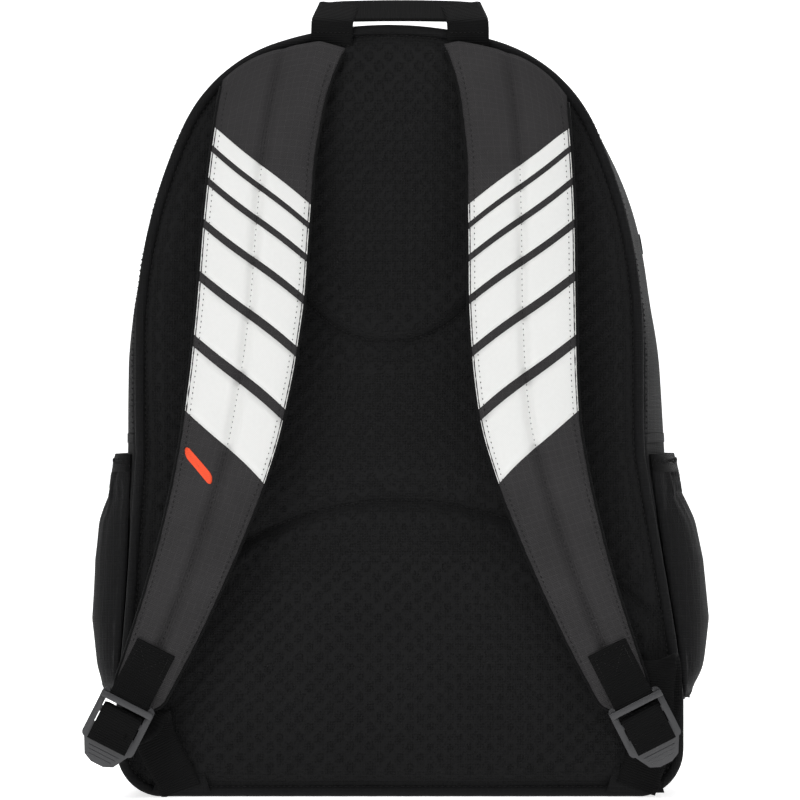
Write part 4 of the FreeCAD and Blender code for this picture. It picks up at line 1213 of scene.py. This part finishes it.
def make_side_pockets():
    """Gathered side pockets with an elastic band, sewn with a zigzag, round each mouth."""
    for name, side in SIDES:
        grid = pocket_grid(side, np.linspace(0.197, 0.084, 50))
        grid = settled(f"{name}_pocket", grid, rim_of(grid, 3, 2), -1.2 * side * inwards(grid), 3 * MM)
        shell_panel(f"{name}_pocket_fabric", grid, f"{name}_pocket", 1.6 * MM)
        band = pocket_grid(side, np.linspace(0.2055, 0.1945, 9), out=1.2 * MM, gathers=0.0)
        band += grid_normals(band) * inwards(band) * (0.5 * MM * np.cos(np.linspace(-1.2, 1.2, 9)))[:, None, None]
        t = np.cumsum(np.concatenate(([0], np.linalg.norm(np.diff(band[4], axis=0), axis=1))))
        uv = np.stack(np.broadcast_arrays(np.linspace(0, 11 * MM, 9)[:, None], t[None, :]), axis=-1)
        elastic = cloth_panel(f"{name}_elastic_band", band, 2.2 * MM, "root", "elastic", (f"{name}_pocket_elastic",),
                              inwards(band), uv=uv)
        run = np.arange(0, t[-1], 2.0 * MM)
        level = 4 + 2.6 * np.where(np.arange(len(run)) % 2, 1, -1)
        normals = grid_normals(band)[4] * inwards(band)
        path = []
        ups = []
        for at, row in zip(run, level):
            spot = [np.interp(at, t, band[4][:, k]) for k in range(3)]
            spot[2] = band[4][0, 2] + (row - 4) * 1.1 * MM
            up = [np.interp(at, t, normals[:, k]) for k in range(3)]
            path.append(spot)
            ups.append(up)
        merged(f"{name}_elastic_stitches", stitch_line(path, ups, 2.9 * MM, 2.5 * MM, 0.26 * MM, 0.0), "root", "stitching")


# ---- Zips and flap -------------------------------------------------------------------------------
def arch_path(radius, y, reach, count):
    """Points round the top arch, from -X to +X, with their outward directions."""
    angles = np.linspace(-reach, reach, count)
    outwards = np.column_stack((np.sin(angles), 0 * angles, np.cos(angles)))
    return outwards * radius + (0, y, ARCH_Z), outwards


def coil(path, ups, across, long, pitch=2.5 * MM, radius=0.55 * MM, start=0.5):
    """A row of coil teeth: small arched bars laid across a path."""
    run = np.concatenate(([0], np.cumsum(np.linalg.norm(np.diff(path, axis=0), axis=1))))
    parts = []
    across = np.asarray(across, float)
    ring = np.array([(math.cos(a), math.sin(a)) for a in np.linspace(0, 2 * math.pi, 6)[:-1]]) * radius
    for at in np.arange(pitch * start, run[-1], pitch):
        spot, up = (np.array([np.interp(at, run, values[:, k]) for k in range(3)]) for values in (path, ups))
        along = np.cross(across, up)
        points = []
        for u, lift, size in ((-0.5, -0.5, 0.6), (-0.36, 0.5, 1), (0, 0.8, 1), (0.36, 0.5, 1), (0.5, -0.5, 0.6)):
            centre = spot + across * long * u + up * lift * radius
            points += [centre + (along * a + up * b) * size for a, b in ring]
        faces = quads(5, 5, wrap=True) + [tuple(range(5))[::-1], tuple(range(20, 25))]
        parts.append((points, faces, [(0.0, 0.0)] * 25))
    return parts


TOOTH = 2.4 * MM


def make_main_zip():
    """Zip tape and coil sewn to the gusset, the flap's tape and coil, and the tabs at the ends of the zip."""
    for name, near, far, body, reach in (("rear", MOUTH_Y - 2 * MM, ZIP_Y - 1.2 * MM, "root", ZIP_REACH),
                                         ("flap", ZIP_Y + 1.2 * MM, DIVIDER_Y + 0.5 * MM, "flap", ZIP_REACH - math.radians(1))):
        angles = np.linspace(-reach, reach, 150)
        y = np.linspace(near, far, 7)
        grid = np.stack(np.broadcast_arrays(ARCH_R * np.sin(angles)[None], y[:, None], ARCH_Z + ARCH_R * np.cos(angles)[None]), axis=2)
        tape = cloth_panel(f"{name}_zip_tape", grid, 1.2 * MM, body, "zip_tape", (f"main_zip_{name}_tape",), inwards(grid))
        sign = -1 if name == "rear" else 1
        path, ups = arch_path(ARCH_R + 0.35 * MM, ZIP_Y + sign * 1.25 * MM, reach, 300)
        merged(f"{name}_zip_coil", coil(path, ups, (0, 1, 0), TOOTH, start=0.5 if sign < 0 else 1.0), body, "zip_teeth",
               (f"main_zip_{name}_teeth",))
        path, ups = arch_path(ARCH_R, ZIP_Y + sign * 6.5 * MM, reach, 300)
        merged(f"{name}_zip_stitches", stitch_line(path, ups, 3.4 * MM), body, "stitching")
    refined("zip_end_tabs", "zip_end_covers", 0.5 * MM, "zip_tape", "root")


ZIP_Y = (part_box("main_zip_rear_teeth")[1].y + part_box("main_zip_flap_teeth")[0].y) / 2


def rows_of(shape, grow, low, high, rows, columns, y):
    """Grid over the inside of an outline between two heights, on a plane."""
    half = half_outline(shape, grow)
    half = half[(np.arange(len(half)) > half[:, 1].argmin()) & (half[:, 0] > 4 * MM)]
    half = stretch_of(half, low, high, rows)
    x = half[:, :1] * np.linspace(-1, 1, columns)
    z = np.repeat(half[:, 1:], columns, axis=1)
    return np.stack((x, np.full_like(x, y), z), axis=2)


def make_flap():
    """The flap's puffed panel, its piping, and the fold of cloth that it hinges on."""
    grid = rows_of(MOUTH, -2.6 * MM, FLAP_Z, None, 46, 91, DIVIDER_Y + 2 * MM)
    x, z = grid[..., 0], grid[..., 2]
    inside = np.clip(1 - np.hypot(x, (z - ARCH_Z)) / (ARCH_R - 2.6 * MM), 0, 1)
    puff = smoothstep(0, 0.3, inside) * smoothstep(FLAP_Z, FLAP_Z + 0.03, z)
    grid[..., 1] += puff * (3.0 * MM + 0.9 * MM * creased(x, z * 0, z, 40 * MM, 23))
    grid = settled("flap", grid, rim_of(grid), 1.6 * inwards(grid), 4 * MM)
    shell_panel("flap_fabric", grid, "flap_panel", 2.0 * MM, body="flap")
    path, ups = arch_path(ARCH_R - 1 * MM, DIVIDER_Y + 2 * MM, ZIP_REACH - math.radians(1), 240)
    swept("flap_piping_cord", path, round_section(1.9 * MM, 10), ups, "flap", "binding", ("flap_piping",))
    low, high = WALL_TOP - 4 * MM, FLAP_Z + 4 * MM
    grid = rows_of(MOUTH, -7 * MM, low, high, 9, 61, DIVIDER_Y + 1.4 * MM)
    middle = (grid[..., 2] - low) / (high - low)
    grid[..., 1] += 1.3 * MM * np.sin(math.pi * middle)
    fold = cloth_panel("flap_fold_fabric", grid, 1.0 * MM, None, "shell_fabric", ("flap_fold",), inwards(grid))
    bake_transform(fold)


def rib_bars(name, bars, place, body, slot):
    """Rounded bars joined into one piece. Each bar is its middle, half length, radius and axis, in millimetres."""
    made = []
    for middle, half, radius, axis in bars:
        bpy.ops.object.select_all(action="DESELECT")
        turn = (0, math.pi / 2, 0) if axis == "X" else (math.pi / 2, 0, 0) if axis == "Y" else (0, 0, 0)
        bpy.ops.mesh.primitive_cylinder_add(vertices=12, radius=radius * MM, depth=2 * half * MM, rotation=turn)
        bar = bpy.context.active_object
        bpy.ops.object.transform_apply(location=True, rotation=True, scale=True)
        corners = np.array([v.co for v in bar.data.vertices]) / MM + middle
        for vertex, at in zip(bar.data.vertices, place(corners)):
            vertex.co = at
        made.append(bar)
    bpy.ops.object.select_all(action="DESELECT")
    for bar in made:
        bar.select_set(True)
    bpy.context.view_layer.objects.active = made[0]
    bpy.ops.object.join()
    piece = bpy.context.active_object
    piece.name = name
    face_outwards(piece)
    bpy.ops.object.shade_smooth_by_angle(angle=math.radians(40))
    return finish_piece(piece, body, slot)


def on_arch(side):
    """Carries points from a slider's own frame, in millimetres, to its place beside the middle of the arch."""
    def place(points):
        points = np.asarray(points, float) * MM + (0, 0, ARCH_R + 1.8 * MM)
        turn = math.radians(6.0)
        x = points[:, 0] * math.cos(turn) + points[:, 2] * math.sin(turn)
        z = -points[:, 0] * math.sin(turn) + points[:, 2] * math.cos(turn)
        return np.column_stack((side * x, points[:, 1] + ZIP_Y, z + ARCH_Z))
    return place


def make_zip_sliders():
    """Both main sliders, each with a ribbed pull, and the front pocket's slider with its pull."""
    for name, side in SIDES:
        refined(f"{name}_zip_slider", f"{name}_slider_casting", 0.4 * MM, "slider_metal", f"{name}_slider")
        refined(f"{name}_zip_pull", f"{name}_pull_tab", 0.35 * MM, "pull_rubber", f"{name}_pull")
        bars = [((x + 0.9, 0, 3.45 + z), 3.6, 0.42, "Y") for x in (16, 18.6, 21.2, 23.8, 26.4) for z in (2.05, -0.65)]
        rib_bars(f"{name}_pull_ribs", bars, on_arch(side), f"{name}_pull", "pull_rubber")
    refined("pocket_zip_slider", "pocket_slider_casting", 0.35 * MM, "slider_metal", "pocket_slider")
    refined("pocket_zip_pull", "pocket_pull_tab", 0.3 * MM, "pull_rubber", "pocket_pull")


# ---- Front pockets -------------------------------------------------------------------------------
RACKET_SIDE_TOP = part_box("racket_pocket_gusset")[1].z


def make_racket_pocket():
    """Open-topped racket pocket: gusset, soft front panel, bound rim and two rows of stitches."""
    right = stretch_of(half_outline(RACKET, -0.2 * MM), None, RACKET_SIDE_TOP, 90)
    outline = np.vstack((right[::-1], (right * (-1, 1))[1:]))
    rows = []
    for y in np.linspace(DIVIDER_FRONT_Y, RACKET_Y + 1.2 * MM, 16):
        share = (y - DIVIDER_FRONT_Y) / (RACKET_Y - DIVIDER_FRONT_Y)
        swell = math.sin(math.pi * min(1, share)) * 2.2 * MM
        x, z = outline[:, 0], outline[:, 1]
        out = swell * (1 + 0.5 * creased(x, x * 0 + y, z, 46 * MM, 29)) * np.clip(np.abs(x) / 0.1, 0, 1) ** 4
        rows.append(np.column_stack((x + np.sign(x) * out, np.full_like(x, y), z)))
    grid = np.array(rows)
    shell_panel("racket_gusset_fabric", grid, "racket_pocket_gusset", 1.9 * MM)

    grid = rows_of(RACKET, -0.4 * MM, None, None, 96, 91, RACKET_FRONT_Y)
    x, z = grid[..., 0], grid[..., 2]
    edge = np.minimum(1 - np.abs(np.linspace(-1, 1, 91))[None, :], (z - 2 * MM) / (90 * MM))
    over = 1 - smoothstep(0.19, 0.235, z) * 0 - (np.abs(x) < 0.106) * (z < 0.212) * (z > 0.034) * 1.0
    soft = smoothstep(0, 0.16, edge) * (1 - 0.6 * smoothstep(0.27, 0.32, z))
    grid[..., 1] += soft * (2.0 * MM + 1.5 * MM * creased(x, z * 0, z, 55 * MM, 31)) * over
    pinned = rim_of(grid) | ((np.abs(x) < 0.108) & (z < 0.214) & (z > 0.032)) | (z > 0.30)
    grid = settled("racket_front", grid, pinned, 1.4 * inwards(grid), 5 * MM)
    shell_panel("racket_front_fabric", grid, "racket_pocket_front", 2.0 * MM)

    half = stretch_of(half_outline(RACKET, -1.7 * MM), RACKET_SIDE_TOP - 3 * MM, None, 120)
    line = np.vstack((half * (-1, 1), half[-2::-1]))
    path = np.array([(x, RACKET_Y + 0.9 * MM, z) for x, z in line])
    swept("racket_rim_binding", path, round_section(3.3 * MM, 12, 0.7), [(0, 1, 0)] * len(path), "root", "binding",
          ("racket_pocket_binding",))
    parts = []
    for grow, lift in ((-4.2, 2.9), (-9.5, 1.1)):
        half = stretch_of(half_outline(RACKET, grow * MM), 0.012 if grow < -5 else RACKET_SIDE_TOP, None, 260)
        line = np.vstack((half * (-1, 1), half[-2::-1]))
        path = np.array([(x, RACKET_Y + lift * MM + (0.8 * MM if grow < -5 else 0), z) for x, z in line])
        parts += stitch_line(path, [(0, 1, 0)] * len(path), 3.4 * MM)
    merged("racket_pocket_stitches", parts, "root", "stitching")


def rounded_box_loop(half, low, high, radius, count):
    """A rounded rectangle as (x, z) points, anticlockwise seen from the front."""
    corners = ((half - radius, high - radius, 0), (-half + radius, high - radius, 1), (-half + radius, low + radius, 2),
               (half - radius, low + radius, 3))
    points = np.vstack([arc_points((cx, cz), radius, k * math.pi / 2, (k + 1) * math.pi / 2, 14) for cx, cz, k in corners])
    return resampled(np.vstack((points, points[:1])), count + 1)[:-1]


def make_accessory_pocket():
    """The zipped front pocket: a shallow soft box with a coil zip in its face."""
    (x0, y0, z0), (x1, y1, z1) = (tuple(corner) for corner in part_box("accessory_pocket"))
    zip_z = (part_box("pocket_zip_teeth")[0].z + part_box("pocket_zip_teeth")[1].z) / 2
    count, slot = 260, 5.6 * MM
    rings = []
    for y, grow, radius in ((y0 - 0.3 * MM, 1.2, 18), (y0 + 5 * MM, 0.6, 18), (y0 + 12 * MM, 0.9, 18), (y1 - 4 * MM, 0, 17.5),
                            (y1 - 1.4 * MM, -1.2, 17), (y1 - 0.2 * MM, -3.4, 15.5)):
        loop = rounded_box_loop(x1 + grow * MM, z0 - grow * MM, z1 + grow * MM, radius * MM, count)
        wave = 0.5 * MM * creased(loop[:, 0], loop[:, 1] * 0 + y, loop[:, 1], 30 * MM, 37)
        rings.append(np.column_stack((loop[:, 0] + wave * 0.5, np.full(count, y), loop[:, 1] + wave * 0.5)))
    edge = rings[-1]
    hole = np.column_stack((edge[:, 0] / x1 * 89 * MM, edge[:, 1],
                            zip_z - slot + 2 * slot * (edge[:, 2] - z0) / (z1 - z0)))
    for share in np.linspace(0, 1, 26)[1:]:
        ring = edge + (hole - edge) * share
        x, z = ring[:, 0], ring[:, 2]
        fall = smoothstep(0, 0.25, share) * (1 - smoothstep(0.7, 1, share))
        drop = 1.6 * MM * smoothstep(0.82, 1, share)
        ring[:, 1] = y1 + fall * (1.2 * MM + 0.8 * MM * creased(x, z * 0, z, 38 * MM, 41)) - drop
        rings.append(ring)
    grid = np.array(rings)
    held = rim_of(grid, 1, 0)
    held[:7] = held[-4:] = True
    grid = settled("accessory_pocket", grid, held, 1.2 * inwards_round(grid), 2 * MM, wrap=True)
    piece = cloth_panel("accessory_pocket_fabric", grid, 1.6 * MM, "root", "shell_fabric", ("accessory_pocket",),
                        inwards_round(grid), wrap=True)

    tapes = []
    for sign in (-1, 1):
        x, z = np.meshgrid(np.linspace(-90, 90, 80) * MM, zip_z + sign * np.linspace(0.4, 11, 6) * MM)
        grid = np.stack((x, np.full_like(x, y1 - 2.4 * MM), z), axis=2)
        tape = cloth_panel(f"pocket_zip_tape_{'low' if sign < 0 else 'high'}", grid, 0.9 * MM, "root", "zip_tape",
                           ("pocket_zip_tapes",), 1 if grid_normals(grid)[..., 1].mean() > 0 else -1)
        path = np.array([(x, y1 - 2.1 * MM, zip_z + sign * 1.15 * MM) for x in np.linspace(-87, 87, 200) * MM])
        tapes += coil(path, np.tile((0.0, 1.0, 0.0), (200, 1)), (0, 0, 1), 2.2 * MM, start=0.5 if sign < 0 else 1.0)
    merged("pocket_zip_coil", tapes, "root", "zip_teeth", ("pocket_zip_teeth",))
    parts = []
    for grow, y in ((-5.5, y1 + 0.5 * MM),):
        loop = rounded_box_loop(x1 + grow * MM, z0 - grow * MM, z1 + grow * MM, 14 * MM, 320)
        path = np.array([(x, y, z) for x, z in loop])
        parts += stitch_line(path, [(0, 1, 0)] * len(path), 3.4 * MM)
    loop = rounded_box_loop(92 * MM, zip_z - 9 * MM, zip_z + 9 * MM, 3 * MM, 200)
    path = np.array([(x, y1 + 0.15 * MM, z) for x, z in loop])
    parts += stitch_line(path, [(0, 1, 0)] * len(path), 3.2 * MM)
    merged("accessory_pocket_stitches", parts, "root", "stitching")


def inwards_round(grid):
    """Which sign of a wrapped grid's normal points out of the front of the bag."""
    return 1 if grid_normals(grid, True)[8:, :, 1].mean() > 0 else -1


# ---- Inside --------------------------------------------------------------------------------------
def make_divider():
    """The lining wall between the main compartment and the racket pocket."""
    grid = rows_of(MOUTH, -0.6 * MM, 0.003, WALL_TOP, 60, 61, DIVIDER_Y)
    x, z = grid[..., 0], grid[..., 2]
    grid[..., 1] += 0.7 * MM * (1 + creased(x, z * 0, z, 70 * MM, 43)) * smoothstep(0, 0.02, WALL_TOP - z)
    piece = cloth_panel("divider_fabric", grid, 1.6 * MM, "root", "lining", ("divider_wall",),
                        -1 if grid_normals(grid)[..., 1].mean() > 0 else 1)


def make_laptop_sleeve():
    """Padded sleeve against the back panel with a rounded bottom, quilted seams and a bound top."""
    (x0, y0, z0), (x1, y1, z1) = (tuple(corner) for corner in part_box("laptop_sleeve"))
    u = np.linspace(-1, 1, 101)
    across = np.sign(u) * (1 - (1 - np.abs(u)) ** 1.0) * x1
    profile = np.clip((1 - np.abs(u)) / 0.07, 0, 1)
    rows = []
    for z in np.concatenate((z0 + 9 * MM * (1 - np.cos(np.linspace(0, math.pi / 2, 8))), np.linspace(z0 + 9 * MM, z1, 60)[1:])):
        close = math.sqrt(max(0.0, 1 - (1 - min(1.0, (z - z0) / (9 * MM))) ** 2))
        depth = (y1 - y0) * np.sqrt(np.maximum(1 - (1 - profile) ** 2, 0)) * (0.15 + 0.85 * close)
        quilt = 1.1 * MM * sum(np.exp(-((across - seam) / (2.2 * MM)) ** 2) for seam in (-62 * MM, 0.0, 62 * MM))
        soft = 0.6 * MM * creased(across, across * 0, np.full_like(across, z), 60 * MM, 47) * profile
        rows.append(np.column_stack((across, y0 + np.maximum(depth - quilt * profile + soft - 0.6 * MM, 0), np.full_like(across, z))))
    grid = np.array(rows)
    piece = cloth_panel("laptop_sleeve_pad", grid, 2.8 * MM, "root", "lining", ("laptop_sleeve",),
                        1 if grid_normals(grid)[..., 1].mean() > 0 else -1)
    (x0, y0, z0), (x1, y1, z1) = (tuple(corner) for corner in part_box("sleeve_binding"))
    path = np.array([(x, (y0 + y1) / 2, (z0 + z1) / 2 - 0.5 * MM) for x in np.linspace(x0, x1, 90)])
    swept("sleeve_top_binding", path, round_section(2.9 * MM, 10, 0.78), [(0, 1, 0)] * len(path), "root", "binding",
          ("sleeve_binding",))


def make_back_core():
    """What the back panel hides: its foam board, its stiff sheet and the lining over them."""
    foam = refined("back_foam_board", "foam_board", 0.8 * MM, "foam", "root")
    corners = leaned([v.co for v in foam.data.vertices])
    foam.data.vertices.foreach_set("co", corners.astype(np.float32).ravel())
    refined("frame_sheet", "stiff_sheet", 0.3 * MM, "frame_sheet", "root")
    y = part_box("back_lining")[1].y
    grid = rows_of(PANEL, -1 * MM, None, None, 60, 61, y)
    x, z = grid[..., 0], grid[..., 2]
    grid[..., 1] -= 0.25 * MM * (1 + creased(x, z * 0, z, 50 * MM, 53))
    grid = leaned(grid)
    piece = cloth_panel("back_lining_fabric", grid, 0.7 * MM, "root", "lining", ("back_lining",),
                        1 if grid_normals(grid)[..., 1].mean() > 0 else -1)


def make_base():
    """Wear patch under the bag, raised a little and puckered away from its edge."""
    (x0, y0, z0), (x1, y1, z1) = (tuple(corner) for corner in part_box("base_patch"))
    v, u = np.meshgrid(np.linspace(-1, 1, 41), np.linspace(-1, 1, 81), indexing="ij")
    reach = 1 - 0.10 * np.abs(v) ** 8
    x = (x0 + x1) / 2 + (x1 - x0) / 2 * u * reach
    y = (y0 + y1) / 2 + (y1 - y0) / 2 * v
    z = z0 + 0.15 * MM * (1 + creased(x, y, x * 0, 60 * MM, 59)) * (1 - np.maximum(np.abs(u), np.abs(v)) ** 6)
    grid = np.stack((x, y, z), axis=2)
    piece = cloth_panel("base_wear_patch", grid, 1.8 * MM, "root", "base_fabric", ("base_patch",),
                        1 if grid_normals(grid)[..., 2].mean() < 0 else -1)


def finish_designed_nodes():
    """Gives every designed node the finish of its slot."""
    for part in frame["record"]["subparts"]:
        node = frame["nodes"][part["node"]]
        node.data.materials.clear()
        node.data.materials.append(finish_of(part["material_slot"]))


# ---- Add-on --------------------------------------------------------------------------------------
class BACKPACK_PG_colours(bpy.types.PropertyGroup):
    """Colours of the bag's cloth and prints."""
    shell: bpy.props.FloatVectorProperty(
        name="Outer fabric", description="Fabric of the body and pockets", subtype="COLOR", size=3, min=0, max=1,
        default=(0.0058, 0.0058, 0.0061))
    mesh: bpy.props.FloatVectorProperty(
        name="Mesh", description="Air mesh of the back and under the straps", subtype="COLOR", size=3, min=0, max=1,
        default=(0.0066, 0.0066, 0.0068))
    strap: bpy.props.FloatVectorProperty(
        name="Strap", description="Twill on the outside of the straps", subtype="COLOR", size=3, min=0, max=1,
        default=(0.029, 0.0277, 0.0285))
    webbing: bpy.props.FloatVectorProperty(
        name="Webbing", description="Webbing, binding and elastic", subtype="COLOR", size=3, min=0, max=1,
        default=(0.0028, 0.0028, 0.0029))
    lining: bpy.props.FloatVectorProperty(
        name="Lining", description="Lining of the main compartment", subtype="COLOR", size=3, min=0, max=1,
        default=(0.07, 0.07, 0.074))
    print_white: bpy.props.FloatVectorProperty(
        name="Bands", description="Printed bands on the straps", subtype="COLOR", size=3, min=0, max=1,
        default=(0.70, 0.70, 0.685))
    accent: bpy.props.FloatVectorProperty(
        name="Accent", description="Small printed bar on the left strap", subtype="COLOR", size=3, min=0, max=1,
        default=(0.80, 0.075, 0.022))


class BACKPACK_PG_studio(bpy.types.PropertyGroup):
    """Light of the studio."""
    key: bpy.props.FloatProperty(
        name="Key light", description="Power of the light at the upper left, in watts", default=36.0, min=0)
    fill: bpy.props.FloatProperty(
        name="Fill light", description="Power of the light at the right, in watts", default=7.5, min=0)
    top: bpy.props.FloatProperty(
        name="Top light", description="Power of the light above, in watts", default=26.0, min=0)
    rim: bpy.props.FloatProperty(
        name="Rim light", description="Power of the light beyond the bag, in watts", default=13.0, min=0)
    sky: bpy.props.FloatProperty(
        name="Ambient light", description="Strength of the even light from all round", default=0.22, min=0)
    eye: bpy.props.FloatProperty(
        name="Camera height", description="Height of the camera above the floor", default=0.238, unit="LENGTH",
        subtype="DISTANCE")


class BACKPACK_OT_stage(bpy.types.Operator):
    """Pale floor and backdrop, soft lights and the camera"""
    bl_idname = "backpack.stage"
    bl_label = "Studio"
    bl_options = {"REGISTER", "UNDO"}

    def execute(self, context):
        make_stage()
        return {"FINISHED"}


class BACKPACK_OT_back_panel(bpy.types.Operator):
    """Quilted air mesh with the tongue and the dome sewn into it"""
    bl_idname = "backpack.back_panel"
    bl_label = "Back panel"
    bl_options = {"REGISTER", "UNDO"}

    def execute(self, context):
        make_back_panel()
        return {"FINISHED"}


class BACKPACK_OT_edge_roll(bpy.types.Operator):
    """Rolled edge round the back panel"""
    bl_idname = "backpack.edge_roll"
    bl_label = "Edge roll"
    bl_options = {"REGISTER", "UNDO"}

    def execute(self, context):
        make_edge_roll()
        return {"FINISHED"}


class BACKPACK_OT_shell(bpy.types.Operator):
    """Gusset, side panels, bottom and their seam tapes"""
    bl_idname = "backpack.shell"
    bl_label = "Shell"
    bl_options = {"REGISTER", "UNDO"}

    def execute(self, context):
        make_shell()
        return {"FINISHED"}


class BACKPACK_OT_straps(bpy.types.Operator):
    """Padded straps with their lining, binding and stitches"""
    bl_idname = "backpack.straps"
    bl_label = "Shoulder straps"
    bl_options = {"REGISTER", "UNDO"}

    def execute(self, context):
        make_straps()
        return {"FINISHED"}


class BACKPACK_OT_strap_print(bpy.types.Operator):
    """Printed bands on both straps and the accent bar"""
    bl_idname = "backpack.strap_print"
    bl_label = "Strap print"
    bl_options = {"REGISTER", "UNDO"}

    def execute(self, context):
        make_strap_print()
        return {"FINISHED"}


class BACKPACK_OT_strap_webbing(bpy.types.Operator):
    """Webbing on the ends of the straps and the tails through the locks"""
    bl_idname = "backpack.strap_webbing"
    bl_label = "Strap webbing"
    bl_options = {"REGISTER", "UNDO"}

    def execute(self, context):
        make_strap_webbing()
        return {"FINISHED"}


class BACKPACK_OT_lower_webbing(bpy.types.Operator):
    """Slack adjusting webbing and the tabs that hold it"""
    bl_idname = "backpack.lower_webbing"
    bl_label = "Lower webbing"
    bl_options = {"REGISTER", "UNDO"}

    def execute(self, context):
        make_lower_webbing()
        return {"FINISHED"}


class BACKPACK_OT_ladder_locks(bpy.types.Operator):
    """Moulded ladder locks with their grip ribs"""
    bl_idname = "backpack.ladder_locks"
    bl_label = "Ladder locks"
    bl_options = {"REGISTER", "UNDO"}

    def execute(self, context):
        make_ladder_locks()
        return {"FINISHED"}


class BACKPACK_OT_haul_loop(bpy.types.Operator):
    """Webbing loop at the top of the bag"""
    bl_idname = "backpack.haul_loop"
    bl_label = "Haul loop"
    bl_options = {"REGISTER", "UNDO"}

    def execute(self, context):
        make_haul_loop()
        return {"FINISHED"}


class BACKPACK_OT_side_pockets(bpy.types.Operator):
    """Gathered side pockets with elastic bands"""
    bl_idname = "backpack.side_pockets"
    bl_label = "Side pockets"
    bl_options = {"REGISTER", "UNDO"}

    def execute(self, context):
        make_side_pockets()
        return {"FINISHED"}


class BACKPACK_OT_main_zip(bpy.types.Operator):
    """Tapes, coil teeth and end tabs of the main zip"""
    bl_idname = "backpack.main_zip"
    bl_label = "Main zip"
    bl_options = {"REGISTER", "UNDO"}

    def execute(self, context):
        make_main_zip()
        return {"FINISHED"}


class BACKPACK_OT_flap(bpy.types.Operator):
    """Flap panel, its piping and the fold it hinges on"""
    bl_idname = "backpack.flap"
    bl_label = "Flap"
    bl_options = {"REGISTER", "UNDO"}

    def execute(self, context):
        make_flap()
        return {"FINISHED"}


class BACKPACK_OT_zip_sliders(bpy.types.Operator):
    """Sliders and their ribbed pulls"""
    bl_idname = "backpack.zip_sliders"
    bl_label = "Zip sliders"
    bl_options = {"REGISTER", "UNDO"}

    def execute(self, context):
        make_zip_sliders()
        return {"FINISHED"}


class BACKPACK_OT_racket_pocket(bpy.types.Operator):
    """Open-topped racket pocket with its bound rim"""
    bl_idname = "backpack.racket_pocket"
    bl_label = "Racket pocket"
    bl_options = {"REGISTER", "UNDO"}

    def execute(self, context):
        make_racket_pocket()
        return {"FINISHED"}


class BACKPACK_OT_accessory_pocket(bpy.types.Operator):
    """Zipped pocket on the front"""
    bl_idname = "backpack.accessory_pocket"
    bl_label = "Accessory pocket"
    bl_options = {"REGISTER", "UNDO"}

    def execute(self, context):
        make_accessory_pocket()
        return {"FINISHED"}


class BACKPACK_OT_divider(bpy.types.Operator):
    """Wall between the main compartment and the racket pocket"""
    bl_idname = "backpack.divider"
    bl_label = "Divider"
    bl_options = {"REGISTER", "UNDO"}

    def execute(self, context):
        make_divider()
        return {"FINISHED"}


class BACKPACK_OT_laptop_sleeve(bpy.types.Operator):
    """Padded sleeve inside the main compartment"""
    bl_idname = "backpack.laptop_sleeve"
    bl_label = "Laptop sleeve"
    bl_options = {"REGISTER", "UNDO"}

    def execute(self, context):
        make_laptop_sleeve()
        return {"FINISHED"}


class BACKPACK_OT_back_core(bpy.types.Operator):
    """Foam board, stiff sheet and lining of the back panel"""
    bl_idname = "backpack.back_core"
    bl_label = "Back core"
    bl_options = {"REGISTER", "UNDO"}

    def execute(self, context):
        make_back_core()
        return {"FINISHED"}


class BACKPACK_OT_base(bpy.types.Operator):
    """Wear patch under the bag"""
    bl_idname = "backpack.base"
    bl_label = "Base patch"
    bl_options = {"REGISTER", "UNDO"}

    def execute(self, context):
        make_base()
        return {"FINISHED"}


class BACKPACK_OT_designed_nodes(bpy.types.Operator):
    """Gives every designed part the finish of its slot"""
    bl_idname = "backpack.designed_nodes"
    bl_label = "Finishes of designed parts"
    bl_options = {"REGISTER", "UNDO"}

    def execute(self, context):
        finish_designed_nodes()
        return {"FINISHED"}


OPERATORS = (
    BACKPACK_OT_stage,
    BACKPACK_OT_back_panel,
    BACKPACK_OT_edge_roll,
    BACKPACK_OT_shell,
    BACKPACK_OT_straps,
    BACKPACK_OT_strap_print,
    BACKPACK_OT_strap_webbing,
    BACKPACK_OT_lower_webbing,
    BACKPACK_OT_ladder_locks,
    BACKPACK_OT_haul_loop,
    BACKPACK_OT_side_pockets,
    BACKPACK_OT_main_zip,
    BACKPACK_OT_flap,
    BACKPACK_OT_zip_sliders,
    BACKPACK_OT_racket_pocket,
    BACKPACK_OT_accessory_pocket,
    BACKPACK_OT_divider,
    BACKPACK_OT_laptop_sleeve,
    BACKPACK_OT_back_core,
    BACKPACK_OT_base,
    BACKPACK_OT_designed_nodes,
)


class BACKPACK_PT_panel(bpy.types.Panel):
    """Colours, lights and the pieces of the backpack"""
    bl_idname = "BACKPACK_PT_panel"
    bl_label = "Racket backpack"
    bl_space_type = "VIEW_3D"
    bl_region_type = "UI"
    bl_category = "Backpack"

    def draw(self, context):
        for group in (context.scene.backpack_colours, context.scene.backpack_studio):
            box = self.layout.box()
            for name in type(group).__annotations__:
                box.prop(group, name)
        column = self.layout.column(align=True)
        for operator in OPERATORS:
            column.operator(operator.bl_idname)


CLASSES = (BACKPACK_PG_colours, BACKPACK_PG_studio, *OPERATORS, BACKPACK_PT_panel)


def register():
    for cls in CLASSES:
        bpy.utils.register_class(cls)
    bpy.types.Scene.backpack_colours = bpy.props.PointerProperty(type=BACKPACK_PG_colours)
    bpy.types.Scene.backpack_studio = bpy.props.PointerProperty(type=BACKPACK_PG_studio)


def unregister():
    del bpy.types.Scene.backpack_studio
    del bpy.types.Scene.backpack_colours
    for cls in reversed(CLASSES):
        bpy.utils.unregister_class(cls)


def main():
    """Registers the add-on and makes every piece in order."""
    register()
    for operator in OPERATORS:
        group, name = operator.bl_idname.split(".")
        getattr(getattr(bpy.ops, group), name)()


if __name__ == "__main__":
    main()
